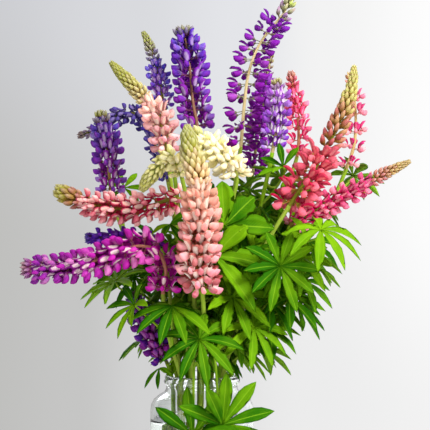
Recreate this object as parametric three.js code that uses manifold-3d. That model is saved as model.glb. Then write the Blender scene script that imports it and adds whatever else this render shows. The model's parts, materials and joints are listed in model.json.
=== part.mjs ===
// A glass jar of cut garden lupins, in millimetres, with +Z up.
// The origin is the centre of the jar's flat underside, and the front of the bouquet looks towards -Y.
// Every lupin is two solids: a green leafy stem that stands in the water, and the flower head on top of it.
import * as THREE from 'three';
import Module from 'manifold-3d';
import { mergeVertices } from 'three/addons/utils/BufferGeometryUtils.js';

const wasm = await Module();
wasm.setup();

// Jar and water: radius and height along each profile
const JAR_FACETS = 24;
const JAR_HEIGHT = 186.5;
const JAR_OUTER_WALL = [
  [46, 0], [55, 4], [57, 12], [57, 147], [53.5, 159.5], [41, 168], [39.5, 175], [42, 179], [41, 185],
  [38.8, JAR_HEIGHT],
];
const JAR_INNER_WALL = [[36.8, 184], [36.8, 169], [50.6, 157], [53.7, 146.5], [53.7, 13], [48, 7.5]];
const JAR_CLEARANCE = 0.8;
const WATER_WALL = [[47.6, 7.9], [53.3, 13.2], [53.3, 138]];
const HOLE_CLEARANCE = 0.4;

// Stems and the stalks of the leaves
const STEM_SIDES = 5;
const STEM_FOOT_RADIUS = 3.4;
const STEM_TOP_RADIUS = 2.6;
const STEM_TOLERANCE = 1.2;
const STALK_SIDES = 4;
const STALK_ROOT_RADIUS = 1.8;
const STALK_TIP_RADIUS = 1.4;
const STALK_TOLERANCE = 1.2;
const STALK_ARCH = 0.1;
const STALK_NECK = 9;
const CLEARANCE = 0.7;

// Leaflets, as shares of their own length
const NOTCH = 0.11;
const RIB_BEND = 0.5;
const LOW_EDGE = 0.38;
const HIGH_EDGE = 0.76;
const HIGH_EDGE_WIDTH = 0.84;
const LEAFLET_FOLD = 0.35;
const LEAFLET_RISE = 0.12;
const LEAFLET_HALF_WIDTH = 0.118;
const LEAFLET_NARROWING = 0.55;
const LEAFLET_UNEVEN = 0.12;
const BLADE_THICKNESS = 1.4;
const HUB_THICKNESS = 2.4;

// What a crowded leaflet tries, in order: how far it bends up or down, and then how much shorter it is
const LEAFLET_BENDS = [0, 0.3, -0.3, 0.6, -0.6];
const LEAFLET_LENGTHS = [1, 0.82, 0.64, 0.46];

// Flower heads
const RACHIS_RADIUS = 2.7;
const HEAD_GAP = 0.3;
const FIRST_WHORL = 7;
const ROOT_SHARE = 0.2;
const LIFT_AT_BASE = -0.1;
const LIFT_AT_TOP = 0.3;
const KEEL = { height: 0.36, reach: 0.72 };
const WING = { height: 0.7, reach: 0.74, spread: 0.34 };
const BANNER = { height: 0.42, reach: 0.78 };
const HEAD_BASE = 0.86;
const HEAD_SWELL = 0.5;
const HEAD_TAPER = 0.62;
const BUD_BASE = 0.6;
const BUD_CURVE = 1.25;
const BUD_CORE = 0.62;
const BUD_LIFT = 0.45;
const TIP_REACH = 2.2;
const BEND_STEP = 6;
const BEND_SHARE = 0.8;
const ENVELOPE_SIDES = 8;
const ENVELOPE_MARGIN = 1.2;
const ENVELOPE_STEPS = 7;
const ENVELOPE_FOOT = 4;

// Smooth lines: samples between two points, and the side from which angles round a line are measured
const PATH_SAMPLES = 14;
const PATH_FRONT = [0.1, -1, 0.2];

const LEAF_GREEN = 0x4f9a1c;
const GLASS_TINT = 0xe8f2ee;
const WATER_TINT = 0xdcebe0;

// Each lupin: its stem from foot to head, its head from base to tip, the head's reach from its axis,
// florets in a whorl, whorls of open florets, rings of buds, the share of the head that is open, and how
// blunt its tip is where that isn't the usual.
// A leaf leaves the stem at height from, its stalk may pass via a point, and its blade faces along face
// round its hub. Its leaflets may be broad, and turn sets the first one off by a share of their spacing.
const LUPINS = [
  {
    name: 'magenta_left', colour: 0xa01cb4, reach: 21, perWhorl: 6, whorls: 9, budRings: 2, open: 0.93,
    stem: [[-25, -23, 9], [-22, -20, 178], [-34, -38, 228]],
    head: [[-41, -51, 278], [-38, -55, 304], [-47, -57, 324], [-66, -58, 329], [-90, -60, 322],
      [-120, -61, 311], [-152, -61, 306], [-186, -60, 306]],
    leaves: [
      { from: 216, hub: [-31, -68, 266], face: [0.05, -0.72, 0.69], length: 49, count: 10, droop: 0.5 },
      { from: 232, hub: [-72, -46, 266], face: [-0.55, -0.6, 0.58], length: 40, count: 8, droop: 0.45 },
    ],
  },
  {
    name: 'rose_left', colour: 0xe57f92, reach: 21, perWhorl: 5, whorls: 8, budRings: 4, open: 0.78,
    blunt: 2.2,
    stem: [[-14, -16, 9], [-12, -14, 178], [-12, -24, 290], [-8, -28, 352]],
    head: [[-19, -28, 378], [-40, -30, 377], [-62, -31, 370], [-95, -32, 369], [-119, -31, 374],
      [-139, -30, 381], [-156, -28, 389]],
    leaves: [
      { from: 296, hub: [-34, -42, 352], face: [-0.2, -0.85, 0.49], length: 30, count: 8, droop: 0.4 },
    ],
  },
  {
    name: 'salmon_front', colour: 0xee8f93, reach: 24, perWhorl: 6, whorls: 7, budRings: 7, open: 0.62,
    blunt: 1.8,
    stem: [[0, -34, 9], [0, -31, 178], [3, -52, 224]],
    head: [[1, -80, 282], [-3, -88, 302], [-3, -91, 322], [-1, -92, 347], [-1, -92, 377], [-4, -92, 402],
      [-9, -92, 420], [-12, -92, 436], [-15, -90, 455]],
    leaves: [
      { from: 206, hub: [-2, -76, 232], face: [0.05, -0.86, 0.5], length: 48, count: 9, droop: 0.6 },
      { from: 190, via: [-7, -76, 206], hub: [-9, -84, 133], face: [-0.1, -0.95, 0.3], length: 54, count: 8,
        droop: 0.1, turn: 0.17 },
    ],
  },
  {
    name: 'salmon_high', colour: 0xf2a3a3, reach: 20, perWhorl: 5, whorls: 5, budRings: 8, open: 0.5,
    stem: [[-16, -4, 9], [-14, -4, 178], [-22, -5, 300], [-31, -7, 374]],
    head: [[-38, -18, 430], [-42, -23, 451], [-48, -26, 468], [-59, -27, 484], [-72, -28, 499],
      [-86, -28, 514], [-99, -28, 528]],
    leaves: [],
  },
  {
    name: 'cream_nodding', colour: 0xf0ecb4, reach: 17, perWhorl: 5, whorls: 3, budRings: 6, open: 0.44,
    stem: [[-12, -28, 9], [-10, -25, 178], [-8, -40, 280], [-13, -52, 360]],
    head: [[-21, -56, 402], [-25, -58, 414], [-31, -59, 421], [-39, -60, 420], [-47, -61, 411],
      [-55, -61, 401], [-64, -60, 388]],
    leaves: [
      { from: 262, hub: [14, -60, 318], face: [0.3, -0.9, 0.3], length: 64, count: 7, droop: 0.5,
        broad: 1.3 },
    ],
  },
  {
    name: 'white_middle', colour: 0xf6f1dc, reach: 24, perWhorl: 6, whorls: 5, budRings: 3, open: 0.84,
    stem: [[9, -10, 9], [8, -9, 178], [18, -12, 290], [33, -18, 376]],
    head: [[38, -20, 403], [32, -17, 416], [19, -12, 430], [5, -7, 441], [-7, -2, 449]],
    leaves: [
      { from: 292, hub: [24, -56, 350], face: [0.25, -0.93, 0.28], length: 56, count: 8, droop: 0.15,
        broad: 1.7 },
      { from: 232, hub: [33, -46, 274], face: [0.3, -0.75, 0.59], length: 48, count: 9, droop: 0.5 },
      { from: 206, via: [14, -70, 212], hub: [22, -84, 144], face: [0.2, -0.93, 0.3], length: 60, count: 10,
        droop: 0.1, turn: 0.4 },
    ],
  },
  {
    name: 'indigo_left', colour: 0x4a2a9e, reach: 20, perWhorl: 5, whorls: 7, budRings: 3, open: 0.84,
    stem: [[-31, 11, 9], [-27, 10, 178], [-50, 20, 250], [-88, 32, 340]],
    head: [[-102, 35, 384], [-105, 35, 409], [-107, 35, 437], [-112, 35, 462], [-115, 35, 478]],
    leaves: [
      { from: 338, hub: [-90, 60, 393], face: [0.2, -0.8, 0.56], length: 28, count: 7, droop: 0.2 },
      { from: 262, hub: [-96, 50, 300], face: [-0.7, 0.45, 0.55], length: 46, count: 7, droop: 0.5 },
    ],
  },
  {
    name: 'indigo_arching', colour: 0x3f2f8e, reach: 13, perWhorl: 5, whorls: 7, budRings: 3, open: 0.86,
    stem: [[-18, 28, 9], [-16, 25, 178], [-26, 54, 300]],
    head: [[-40, 76, 400], [-53, 78, 436], [-62, 78, 462], [-76, 78, 479], [-93, 78, 479],
      [-111, 77, 470], [-128, 76, 459], [-145, 74, 453]],
    leaves: [
      { from: 262, hub: [-46, 84, 298], face: [-0.3, 0.75, 0.59], length: 48, count: 7, droop: 0.5 },
    ],
  },
  {
    name: 'blue_high', colour: 0x4a3cb0, reach: 16, perWhorl: 5, whorls: 5, budRings: 6, open: 0.6,
    stem: [[-15, 16, 9], [-13, 14, 178], [-22, 40, 320], [-35, 62, 430]],
    head: [[-43, 70, 482], [-49, 70, 508], [-54, 70, 534], [-61, 70, 557], [-69, 70, 574]],
    leaves: [
      { from: 236, hub: [-44, 44, 262], face: [-0.6, 0.55, 0.58], length: 42, count: 7, droop: 0.5 },
    ],
  },
  {
    name: 'violet_high', colour: 0x6a2ab8, reach: 22, perWhorl: 5, whorls: 8, budRings: 2, open: 0.94,
    stem: [[-3, 9, 9], [-3, 8, 178], [-4, 26, 320]],
    head: [[-5, 40, 456], [-11, 40, 492], [-14, 40, 526], [-18, 40, 552], [-21, 40, 569]],
    leaves: [
      { from: 214, hub: [0, 58, 240], face: [0.1, 0.8, 0.59], length: 44, count: 7, droop: 0.55 },
      { from: 300, hub: [-4, 62, 346], face: [0, 0.7, 0.71], length: 42, count: 7, droop: 0.45 },
    ],
  },
  {
    name: 'purple_tall', colour: 0x7a1cb0, reach: 23, perWhorl: 6, whorls: 8, budRings: 4, open: 0.84,
    stem: [[12, 3, 9], [10, 3, 178], [24, 10, 300], [36, 16, 390]],
    head: [[43, 20, 438], [47, 20, 485], [51, 20, 516], [58, 20, 540], [68, 20, 559], [80, 20, 574],
      [92, 20, 589], [101, 20, 609]],
    leaves: [],
  },
  {
    name: 'lilac_right', colour: 0x8a62d0, reach: 18, perWhorl: 5, whorls: 6, budRings: 3, open: 0.84,
    stem: [[21, -14, 9], [18, -12, 178], [40, -14, 280], [66, -12, 380]],
    head: [[77, -10, 430], [82, -10, 464], [84, -10, 490], [82, -10, 510]],
    leaves: [
      { from: 372, hub: [88, -32, 414], face: [-0.2, -0.75, 0.63], length: 32, count: 7, droop: 0.15 },
      { from: 276, hub: [55, -40, 322], face: [0.3, -0.8, 0.52], length: 46, count: 8, droop: 0.45 },
    ],
  },
  {
    name: 'plum_right', colour: 0x4c1690, reach: 18, perWhorl: 5, whorls: 6, budRings: 3, open: 0.78,
    stem: [[10, 21, 9], [9, 18, 178], [26, 38, 300], [46, 55, 370]],
    head: [[57, 62, 408], [62, 62, 446], [68, 62, 482], [74, 62, 518], [80, 62, 552]],
    leaves: [
      { from: 250, hub: [22, 76, 290], face: [0.2, 0.8, 0.57], length: 48, count: 7, droop: 0.5 },
    ],
  },
  {
    name: 'rose_high', colour: 0xe8407e, reach: 15, perWhorl: 5, whorls: 6, budRings: 4, open: 0.8,
    stem: [[22, 25, 9], [20, 22, 178], [60, 60, 300], [95, 84, 390]],
    head: [[110, 90, 430], [112, 90, 461], [110, 90, 484], [106, 90, 508], [103, 90, 530]],
    leaves: [
      { from: 268, hub: [74, 94, 300], face: [0.5, 0.65, 0.57], length: 46, count: 7, droop: 0.5 },
      { from: 222, hub: [52, 64, 246], face: [0.45, 0.65, 0.61], length: 42, count: 7, droop: 0.55 },
    ],
  },
  {
    name: 'coral_right', colour: 0xe85a6e, reach: 25, perWhorl: 6, whorls: 4, budRings: 9, open: 0.42,
    stem: [[25, -23, 9], [22, -21, 178], [36, -30, 235], [66, -38, 324]],
    head: [[94, -41, 372], [107, -41, 392], [122, -39, 413], [135, -36, 435], [146, -34, 457],
      [155, -32, 479], [162, -30, 502], [165, -28, 525]],
    leaves: [
      { from: 258, hub: [83, -66, 308], face: [0.15, -0.95, 0.28], length: 47, count: 10, droop: 0.3 },
      { from: 330, hub: [126, -64, 346], face: [0.25, -0.55, 0.8], length: 50, count: 9, droop: 0.9 },
      { from: 210, hub: [56, -52, 242], face: [0.45, -0.7, 0.55], length: 44, count: 9, droop: 0.6 },
    ],
  },
  {
    name: 'pink_behind', colour: 0xee6aa0, reach: 16, perWhorl: 5, whorls: 7, budRings: 3, open: 0.86,
    stem: [[33, 9, 9], [30, 8, 178], [60, 20, 250], [110, 36, 332], [146, 43, 377]],
    head: [[163, 45, 414], [172, 45, 441], [174, 45, 470], [172, 45, 498], [167, 45, 524]],
    leaves: [
      { from: 290, hub: [120, 66, 318], face: [0.6, 0.5, 0.62], length: 46, count: 7, droop: 0.5 },
    ],
  },
  {
    name: 'pink_low_right', colour: 0xe66a92, reach: 17, perWhorl: 5, whorls: 8, budRings: 6, open: 0.66,
    stem: [[33, -4, 9], [30, -4, 178], [52, 2, 240], [90, 10, 320]],
    head: [[97, 10, 349], [111, 13, 359], [128, 15, 367], [146, 13, 377], [165, 10, 387], [187, 8, 400],
      [210, 6, 412], [231, 4, 422]],
    leaves: [
      { from: 230, hub: [74, -16, 268], face: [0.6, -0.5, 0.62], length: 46, count: 8, droop: 0.55 },
      { from: 300, hub: [116, -18, 334], face: [0.45, -0.65, 0.61], length: 42, count: 7, droop: 0.45 },
    ],
  },
  {
    name: 'purple_behind', colour: 0x48208c, reach: 14, perWhorl: 5, whorls: 5, budRings: 3, open: 0.84,
    stem: [[-26, -10, 9], [-23, -9, 178], [-33, -9, 250], [-38, -8, 300]],
    head: [[-46, -8, 324], [-62, -10, 334], [-84, -12, 338], [-105, -12, 338], [-126, -12, 337]],
    leaves: [
      { from: 252, via: [-68, 13, 274], hub: [-94, -20, 290], face: [-0.45, -0.3, 0.84], length: 46,
        count: 8, droop: 0.45 },
    ],
  },
  {
    name: 'violet_low', colour: 0x44188c, reach: 14, perWhorl: 5, whorls: 5, budRings: 3, open: 0.84,
    stem: [[-35, -4, 9], [-32.5, -4, 178]],
    head: [[-38, -12, 200], [-49, -13, 218], [-60, -13, 238], [-69, -13, 257], [-75, -13, 277]],
    leaves: [
      { from: 191, hub: [-46, -24, 196], face: [-0.6, -0.6, 0.53], length: 23, count: 6, droop: 0.7 },
    ],
  },
];

const vector = (values) => new THREE.Vector3(...values);
const mix = THREE.MathUtils.lerp;
const circumscribed = (radius, sides) => radius / Math.cos(Math.PI / sides);

// A smooth line through points, with a frame that doesn't spin as it goes.
class Path {
  constructor(points) {
    const curve = new THREE.CatmullRomCurve3(points, false, 'centripetal');
    this.spots = curve.getPoints((points.length - 1) * PATH_SAMPLES);
    this.lengths = [0];
    for (let i = 1; i < this.spots.length; i += 1) {
      this.lengths.push(this.lengths[i - 1] + this.spots[i].distanceTo(this.spots[i - 1]));
    }
    const last = this.spots.length - 1;
    this.tangents = this.spots.map((_, i) =>
      this.spots[Math.min(i + 1, last)].clone().sub(this.spots[Math.max(i - 1, 0)]).normalize());
    let normal = vector(PATH_FRONT);
    this.normals = this.tangents.map((tangent) => {
      normal = normal.clone().addScaledVector(tangent, -normal.dot(tangent)).normalize();
      return normal;
    });
  }

  get total() {
    return this.lengths[this.lengths.length - 1];
  }

  lengthAtPoint(index) {
    return this.lengths[index * PATH_SAMPLES];
  }

  lengthAtHeight(height) {
    const i = this.spots.findIndex((spot) => spot.z >= height);
    const share = (height - this.spots[i - 1].z) / (this.spots[i].z - this.spots[i - 1].z);
    return mix(this.lengths[i - 1], this.lengths[i], share);
  }

  // The frame at a length along the path, which runs on straight past both ends.
  at(length) {
    const s = THREE.MathUtils.clamp(length, 0, this.total);
    const i = Math.max(this.lengths.findIndex((value) => value >= s), 1);
    const share = (s - this.lengths[i - 1]) / (this.lengths[i] - this.lengths[i - 1]);
    const between = (list) => list[i - 1].clone().lerp(list[i], share);
    const tangent = between(this.tangents).normalize();
    const normal = between(this.normals);
    normal.addScaledVector(tangent, -normal.dot(tangent)).normalize();
    const spot = between(this.spots).addScaledVector(tangent, length - s);
    return { spot, tangent, normal, side: tangent.clone().cross(normal) };
  }

  // The point at a length along the path, an angle round it and a distance from it.
  place(length, angle, distance) {
    const { spot, normal, side } = this.at(length);
    return spot
      .addScaledVector(normal, distance * Math.cos(angle))
      .addScaledVector(side, distance * Math.sin(angle));
  }

  // Lengths from start to end, as few as keep each straight chord within the tolerance of the path.
  stations(start, end, tolerance) {
    const fine = [start, ...this.lengths.filter((s) => s > start + 1 && s < end - 1), end];
    const kept = [start];
    let from = 0;
    while (from < fine.length - 1) {
      let to = fine.length - 1;
      while (to > from + 1 && this.strayFromChord(fine, from, to) > tolerance) to -= 1;
      kept.push(fine[to]);
      from = to;
    }
    return kept;
  }

  strayFromChord(fine, from, to) {
    const chord = new THREE.Line3(this.at(fine[from]).spot, this.at(fine[to]).spot);
    const nearest = new THREE.Vector3();
    const strays = fine.slice(from + 1, to).map((s) => {
      const { spot } = this.at(s);
      return chord.closestPointToPoint(spot, true, nearest).distanceTo(spot);
    });
    return Math.max(0, ...strays);
  }
}

// A closed surface put together from shared points.
class Surface {
  constructor() {
    this.points = [];
    this.faces = [];
  }

  add(point) {
    return this.points.push(point) - 1;
  }

  face(...corners) {
    this.faces.push(corners);
  }

  // A band between two rings whose points stand at the same angles.
  band(low, high) {
    low.forEach((corner, j) => {
      const next = (j + 1) % low.length;
      this.face(corner, low[next], high[next]);
      this.face(corner, high[next], high[j]);
    });
  }

  // A band between two rings, the upper one turned half a step on.
  turnedBand(low, high) {
    low.forEach((corner, j) => {
      const next = (j + 1) % low.length;
      this.face(corner, low[next], high[j]);
      this.face(low[next], high[next], high[j]);
    });
  }

  // A pyramid on four corners.
  bud(corners, apex) {
    corners.forEach((corner, k) => this.face(corner, corners[(k + 1) % 4], apex));
  }

  floor(ring) {
    for (let j = 1; j < ring.length - 1; j += 1) this.face(ring[0], ring[j + 1], ring[j]);
  }

  lid(ring) {
    for (let j = 1; j < ring.length - 1; j += 1) this.face(ring[0], ring[j], ring[j + 1]);
  }

  geometry() {
    const positions = new Float32Array(this.points.flatMap((point) => [point.x, point.y, point.z]));
    return new THREE.BufferGeometry()
      .setAttribute('position', new THREE.BufferAttribute(positions, 3))
      .setIndex(this.faces.flat());
  }
}

function solidOf(geometry) {
  const bare = geometry.clone();
  bare.deleteAttribute('normal');
  bare.deleteAttribute('uv');
  const merged = mergeVertices(bare);
  return new wasm.Manifold(new wasm.Mesh({
    numProp: 3,
    vertProperties: merged.getAttribute('position').array,
    triVerts: new Uint32Array(merged.index.array),
  }));
}

function geometryOf(solid) {
  const mesh = solid.getMesh();
  return new THREE.BufferGeometry()
    .setAttribute('position', new THREE.BufferAttribute(new Float32Array(mesh.vertProperties), 3))
    .setIndex(new THREE.BufferAttribute(new Uint32Array(mesh.triVerts), 1));
}

// A tube round a path, with flat ends. Each stop is a length along the path and a radius.
function tube(path, stops, sides) {
  const surface = new Surface();
  const rings = stops.map(([length, radius]) =>
    Array.from({ length: sides }, (_, j) =>
      surface.add(path.place(length, (j / sides) * 2 * Math.PI, radius))));
  rings.slice(1).forEach((ring, i) => surface.band(rings[i], ring));
  surface.floor(rings[0]);
  surface.lid(rings[rings.length - 1]);
  return solidOf(surface.geometry());
}

function lathe(profile) {
  return new THREE.LatheGeometry(profile.map(([x, y]) => new THREE.Vector2(x, y)), JAR_FACETS)
    .rotateX(Math.PI / 2);
}

// A turned shape whose profile is closed by a flat disc at each end.
function filledLathe(wall) {
  return lathe([[0, wall[0][1]], ...wall, [0, wall[wall.length - 1][1]]]);
}

function jarGeometry() {
  return filledLathe([...JAR_OUTER_WALL, ...JAR_INNER_WALL]);
}

// The space that the jar fills, inside and out, with a little room round it.
function jarSpace() {
  const wall = JAR_OUTER_WALL.map(([radius, height]) => [radius + JAR_CLEARANCE, height]);
  return solidOf(lathe([[0, -JAR_CLEARANCE], ...wall, [0, JAR_HEIGHT + JAR_CLEARANCE]]));
}

function stemStops(lupin, extra) {
  const end = lupin.headStart - HEAD_GAP;
  return lupin.path.stations(0, end, STEM_TOLERANCE).map((s) =>
    [s, mix(STEM_FOOT_RADIUS, STEM_TOP_RADIUS, s / end) + extra]);
}

// The water, with a plain hole for each stem.
function waterGeometry() {
  return geometryOf(lupins.reduce((solid, lupin) => {
    const [foot, ...rest] = stemStops(lupin, circumscribed(HOLE_CLEARANCE, STEM_SIDES));
    return solid.subtract(tube(lupin.path, [[-HOLE_CLEARANCE, foot[1]], ...rest], STEM_SIDES));
  }, solidOf(filledLathe(WATER_WALL))));
}

// The line of a leaf's stalk, from the middle of the stem to the back of the hub.
function stalkPath(lupin, leaf) {
  const root = lupin.path.at(lupin.path.lengthAtHeight(leaf.from)).spot;
  const face = vector(leaf.face).normalize();
  const hub = vector(leaf.hub).addScaledVector(face, -HUB_THICKNESS);
  const neck = vector(leaf.hub).addScaledVector(face, -STALK_NECK);
  const arch = root.distanceTo(neck) * STALK_ARCH;
  const middle = leaf.via ? vector(leaf.via) : root.clone().lerp(neck, 0.5).addScaledVector(face, -arch);
  return new Path([root, middle, neck, hub]);
}

// Adds the stalk up to the hub, where its last ring lies flat against the blade, and returns that ring.
function addStalk(surface, path, leaf) {
  const face = vector(leaf.face).normalize();
  const { spot, normal } = path.at(path.total);
  const first = normal.clone().addScaledVector(face, -normal.dot(face)).normalize();
  const side = face.clone().cross(first);
  const angles = Array.from({ length: STALK_SIDES }, (_, j) => (j / STALK_SIDES) * 2 * Math.PI);
  const rings = path.stations(0, path.total, STALK_TOLERANCE).slice(0, -1).map((length) => {
    const radius = mix(STALK_ROOT_RADIUS, STALK_TIP_RADIUS, length / path.total);
    return angles.map((angle) => surface.add(path.place(length, angle, radius)));
  });
  rings.push(angles.map((angle) => surface.add(spot.clone()
    .addScaledVector(first, STALK_TIP_RADIUS * Math.cos(angle))
    .addScaledVector(side, STALK_TIP_RADIUS * Math.sin(angle)))));
  surface.floor(rings[0]);
  rings.slice(1).forEach((ring, i) => surface.band(rings[i], ring));
  return { ring: rings[rings.length - 1], first };
}

// Where one leaflet of a palmate leaf lies: the outline from notch to notch, and its rib above and below.
function leafletCorners(leaf, j, bend, extra) {
  const uneven = 1 - LEAFLET_UNEVEN * (0.5 + 0.5 * Math.sin(j * j * 1.7 + leaf.length));
  const reach = leaf.length * uneven * bend.length + extra;
  const breadth = (leaf.broad ?? 1) * mix(LEAFLET_NARROWING, 1, bend.length);
  const halfWidth = leaf.length * LEAFLET_HALF_WIDTH * breadth + extra;
  const { face, outwards, left } = leafletFrame(leaf, j, bend.lift);
  const rib = (share) => vector(leaf.hub)
    .addScaledVector(outwards, reach * share)
    .addScaledVector(face, reach * share * LEAFLET_RISE + extra)
    .addScaledVector(new THREE.Vector3(0, 0, -1), reach * leaf.droop * 0.5 * share * share);
  const edge = (share, width) => rib(share)
    .addScaledVector(left, width)
    .addScaledVector(face, Math.abs(width) * LEAFLET_FOLD);
  return {
    outline: [
      notchPoint(leaf, j - 0.5),
      edge(LOW_EDGE, -halfWidth),
      edge(HIGH_EDGE, -halfWidth * HIGH_EDGE_WIDTH),
      rib(1),
      edge(HIGH_EDGE, halfWidth * HIGH_EDGE_WIDTH),
      edge(LOW_EDGE, halfWidth),
      notchPoint(leaf, j + 0.5),
    ],
    above: rib(RIB_BEND),
    below: rib(RIB_BEND).addScaledVector(face, -BLADE_THICKNESS - 2 * extra),
  };
}

// The directions of a leaflet: outwards along its rib, left across it and the face that it turns up.
function leafletFrame(leaf, j, lift) {
  const face = vector(leaf.face).normalize();
  const across = new THREE.Vector3(0, 0, 1).cross(face).normalize();
  const along = face.clone().cross(across);
  const angle = ((j + (leaf.turn ?? 0)) * 2 * Math.PI) / leaf.count;
  const flat = across.multiplyScalar(Math.cos(angle)).addScaledVector(along, Math.sin(angle));
  const left = face.clone().cross(flat);
  const outwards = flat.clone().multiplyScalar(Math.cos(lift)).addScaledVector(face, Math.sin(lift));
  return { face: outwards.clone().cross(left), outwards, left };
}

function notchPoint(leaf, j) {
  const { face, outwards } = leafletFrame(leaf, j, 0);
  const reach = leaf.length * NOTCH;
  return vector(leaf.hub).addScaledVector(outwards, reach).addScaledVector(face, reach * LEAFLET_RISE);
}

// The sheet of triangles from an outline to a point above it and a point below it.
function addFans(surface, outline, above, below) {
  outline.slice(1).forEach((corner, k) => {
    surface.face(outline[k], corner, above);
    surface.face(corner, outline[k], below);
  });
}

// One leaflet as a solid of its own, to try whether it is clear.
function leafletSolid(corners) {
  const surface = new Surface();
  const outline = corners.outline.map((point) => surface.add(point));
  addFans(surface, [...outline, outline[0]], surface.add(corners.above), surface.add(corners.below));
  return solidOf(surface.geometry());
}

function boxesMeet(a, b) {
  return [0, 1, 2].every((k) => a.min[k] < b.max[k] && b.min[k] < a.max[k]);
}

function isClear(solid, obstacles) {
  const box = solid.boundingBox();
  return obstacles.every((other) =>
    !boxesMeet(box, other.boundingBox()) || solid.intersect(other).isEmpty());
}

// The first bend and length that keep a leaflet clear, or none where there is no room for it.
function leafletBend(leaf, j, obstacles) {
  const tries = LEAFLET_LENGTHS.flatMap((length) => LEAFLET_BENDS.map((lift) => ({ length, lift })));
  return tries.find((bend) => isClear(leafletSolid(leafletCorners(leaf, j, bend, CLEARANCE)), obstacles));
}

// A palmate leaf: a stalk that opens into one thin star of pointed leaflets, each folded up along its rib.
function palmateLeaf(lupin, leaf, leaflets) {
  const surface = new Surface();
  const { ring, first } = addStalk(surface, stalkPath(lupin, leaf), leaf);
  const top = surface.add(vector(leaf.hub));
  const notches = leaflets.map((_, j) => surface.add(notchPoint(leaf, j + 0.5)));
  const underside = [];
  leaflets.forEach((leaflet, j) => {
    const ends = [notches[(j + leaf.count - 1) % leaf.count], notches[j]];
    if (leaflet) {
      const middle = leaflet.outline.slice(1, -1).map((point) => surface.add(point));
      const [above, below] = [surface.add(leaflet.above), surface.add(leaflet.below)];
      addFans(surface, [ends[0], ...middle, ends[1]], above, below);
      surface.face(top, ends[0], above);
      surface.face(ends[1], top, above);
      underside.push(ends[0], below);
    } else {
      surface.face(top, ends[0], ends[1]);
      underside.push(ends[0]);
    }
  });
  const side = vector(leaf.face).normalize().cross(first);
  const nearestCorner = (k) => {
    const next = surface.points[underside[(k + 1) % underside.length]];
    const outwards = surface.points[underside[k]].clone().lerp(next, 0.5).sub(vector(leaf.hub));
    const angle = Math.atan2(outwards.dot(side), outwards.dot(first));
    return (Math.round((angle * STALK_SIDES) / (2 * Math.PI)) + STALK_SIDES) % STALK_SIDES;
  };
  underside.forEach((corner, k) => {
    const [before, here] = [nearestCorner((k + underside.length - 1) % underside.length), nearestCorner(k)];
    if (before !== here) surface.face(corner, ring[before], ring[here]);
    surface.face(corner, ring[here], underside[(k + 1) % underside.length]);
  });
  return solidOf(surface.geometry());
}

// The radius that a head reaches at a share of its length, from its base to its tip.
function reachAt(lupin, share) {
  if (share < lupin.open) {
    const along = share / lupin.open;
    return lupin.reach * (HEAD_BASE + HEAD_SWELL * along - HEAD_TAPER * along * along);
  }
  const along = (share - lupin.open) / (1 - lupin.open);
  return mix(lupin.reach * BUD_BASE, TIP_REACH, along ** (lupin.blunt ?? BUD_CURVE));
}

// The reach towards one side of a bent head, kept short enough that florets inside the bend don't cross.
function clearReach(path, length, angle, reach) {
  const turn = path.at(length + BEND_STEP).tangent.sub(path.at(length - BEND_STEP).tangent);
  const outwards = path.place(length, angle, 1).sub(path.at(length).spot);
  const bend = turn.dot(outwards) / (2 * BEND_STEP);
  return bend > 0 ? Math.min(reach, BEND_SHARE / bend) : reach;
}

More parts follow.
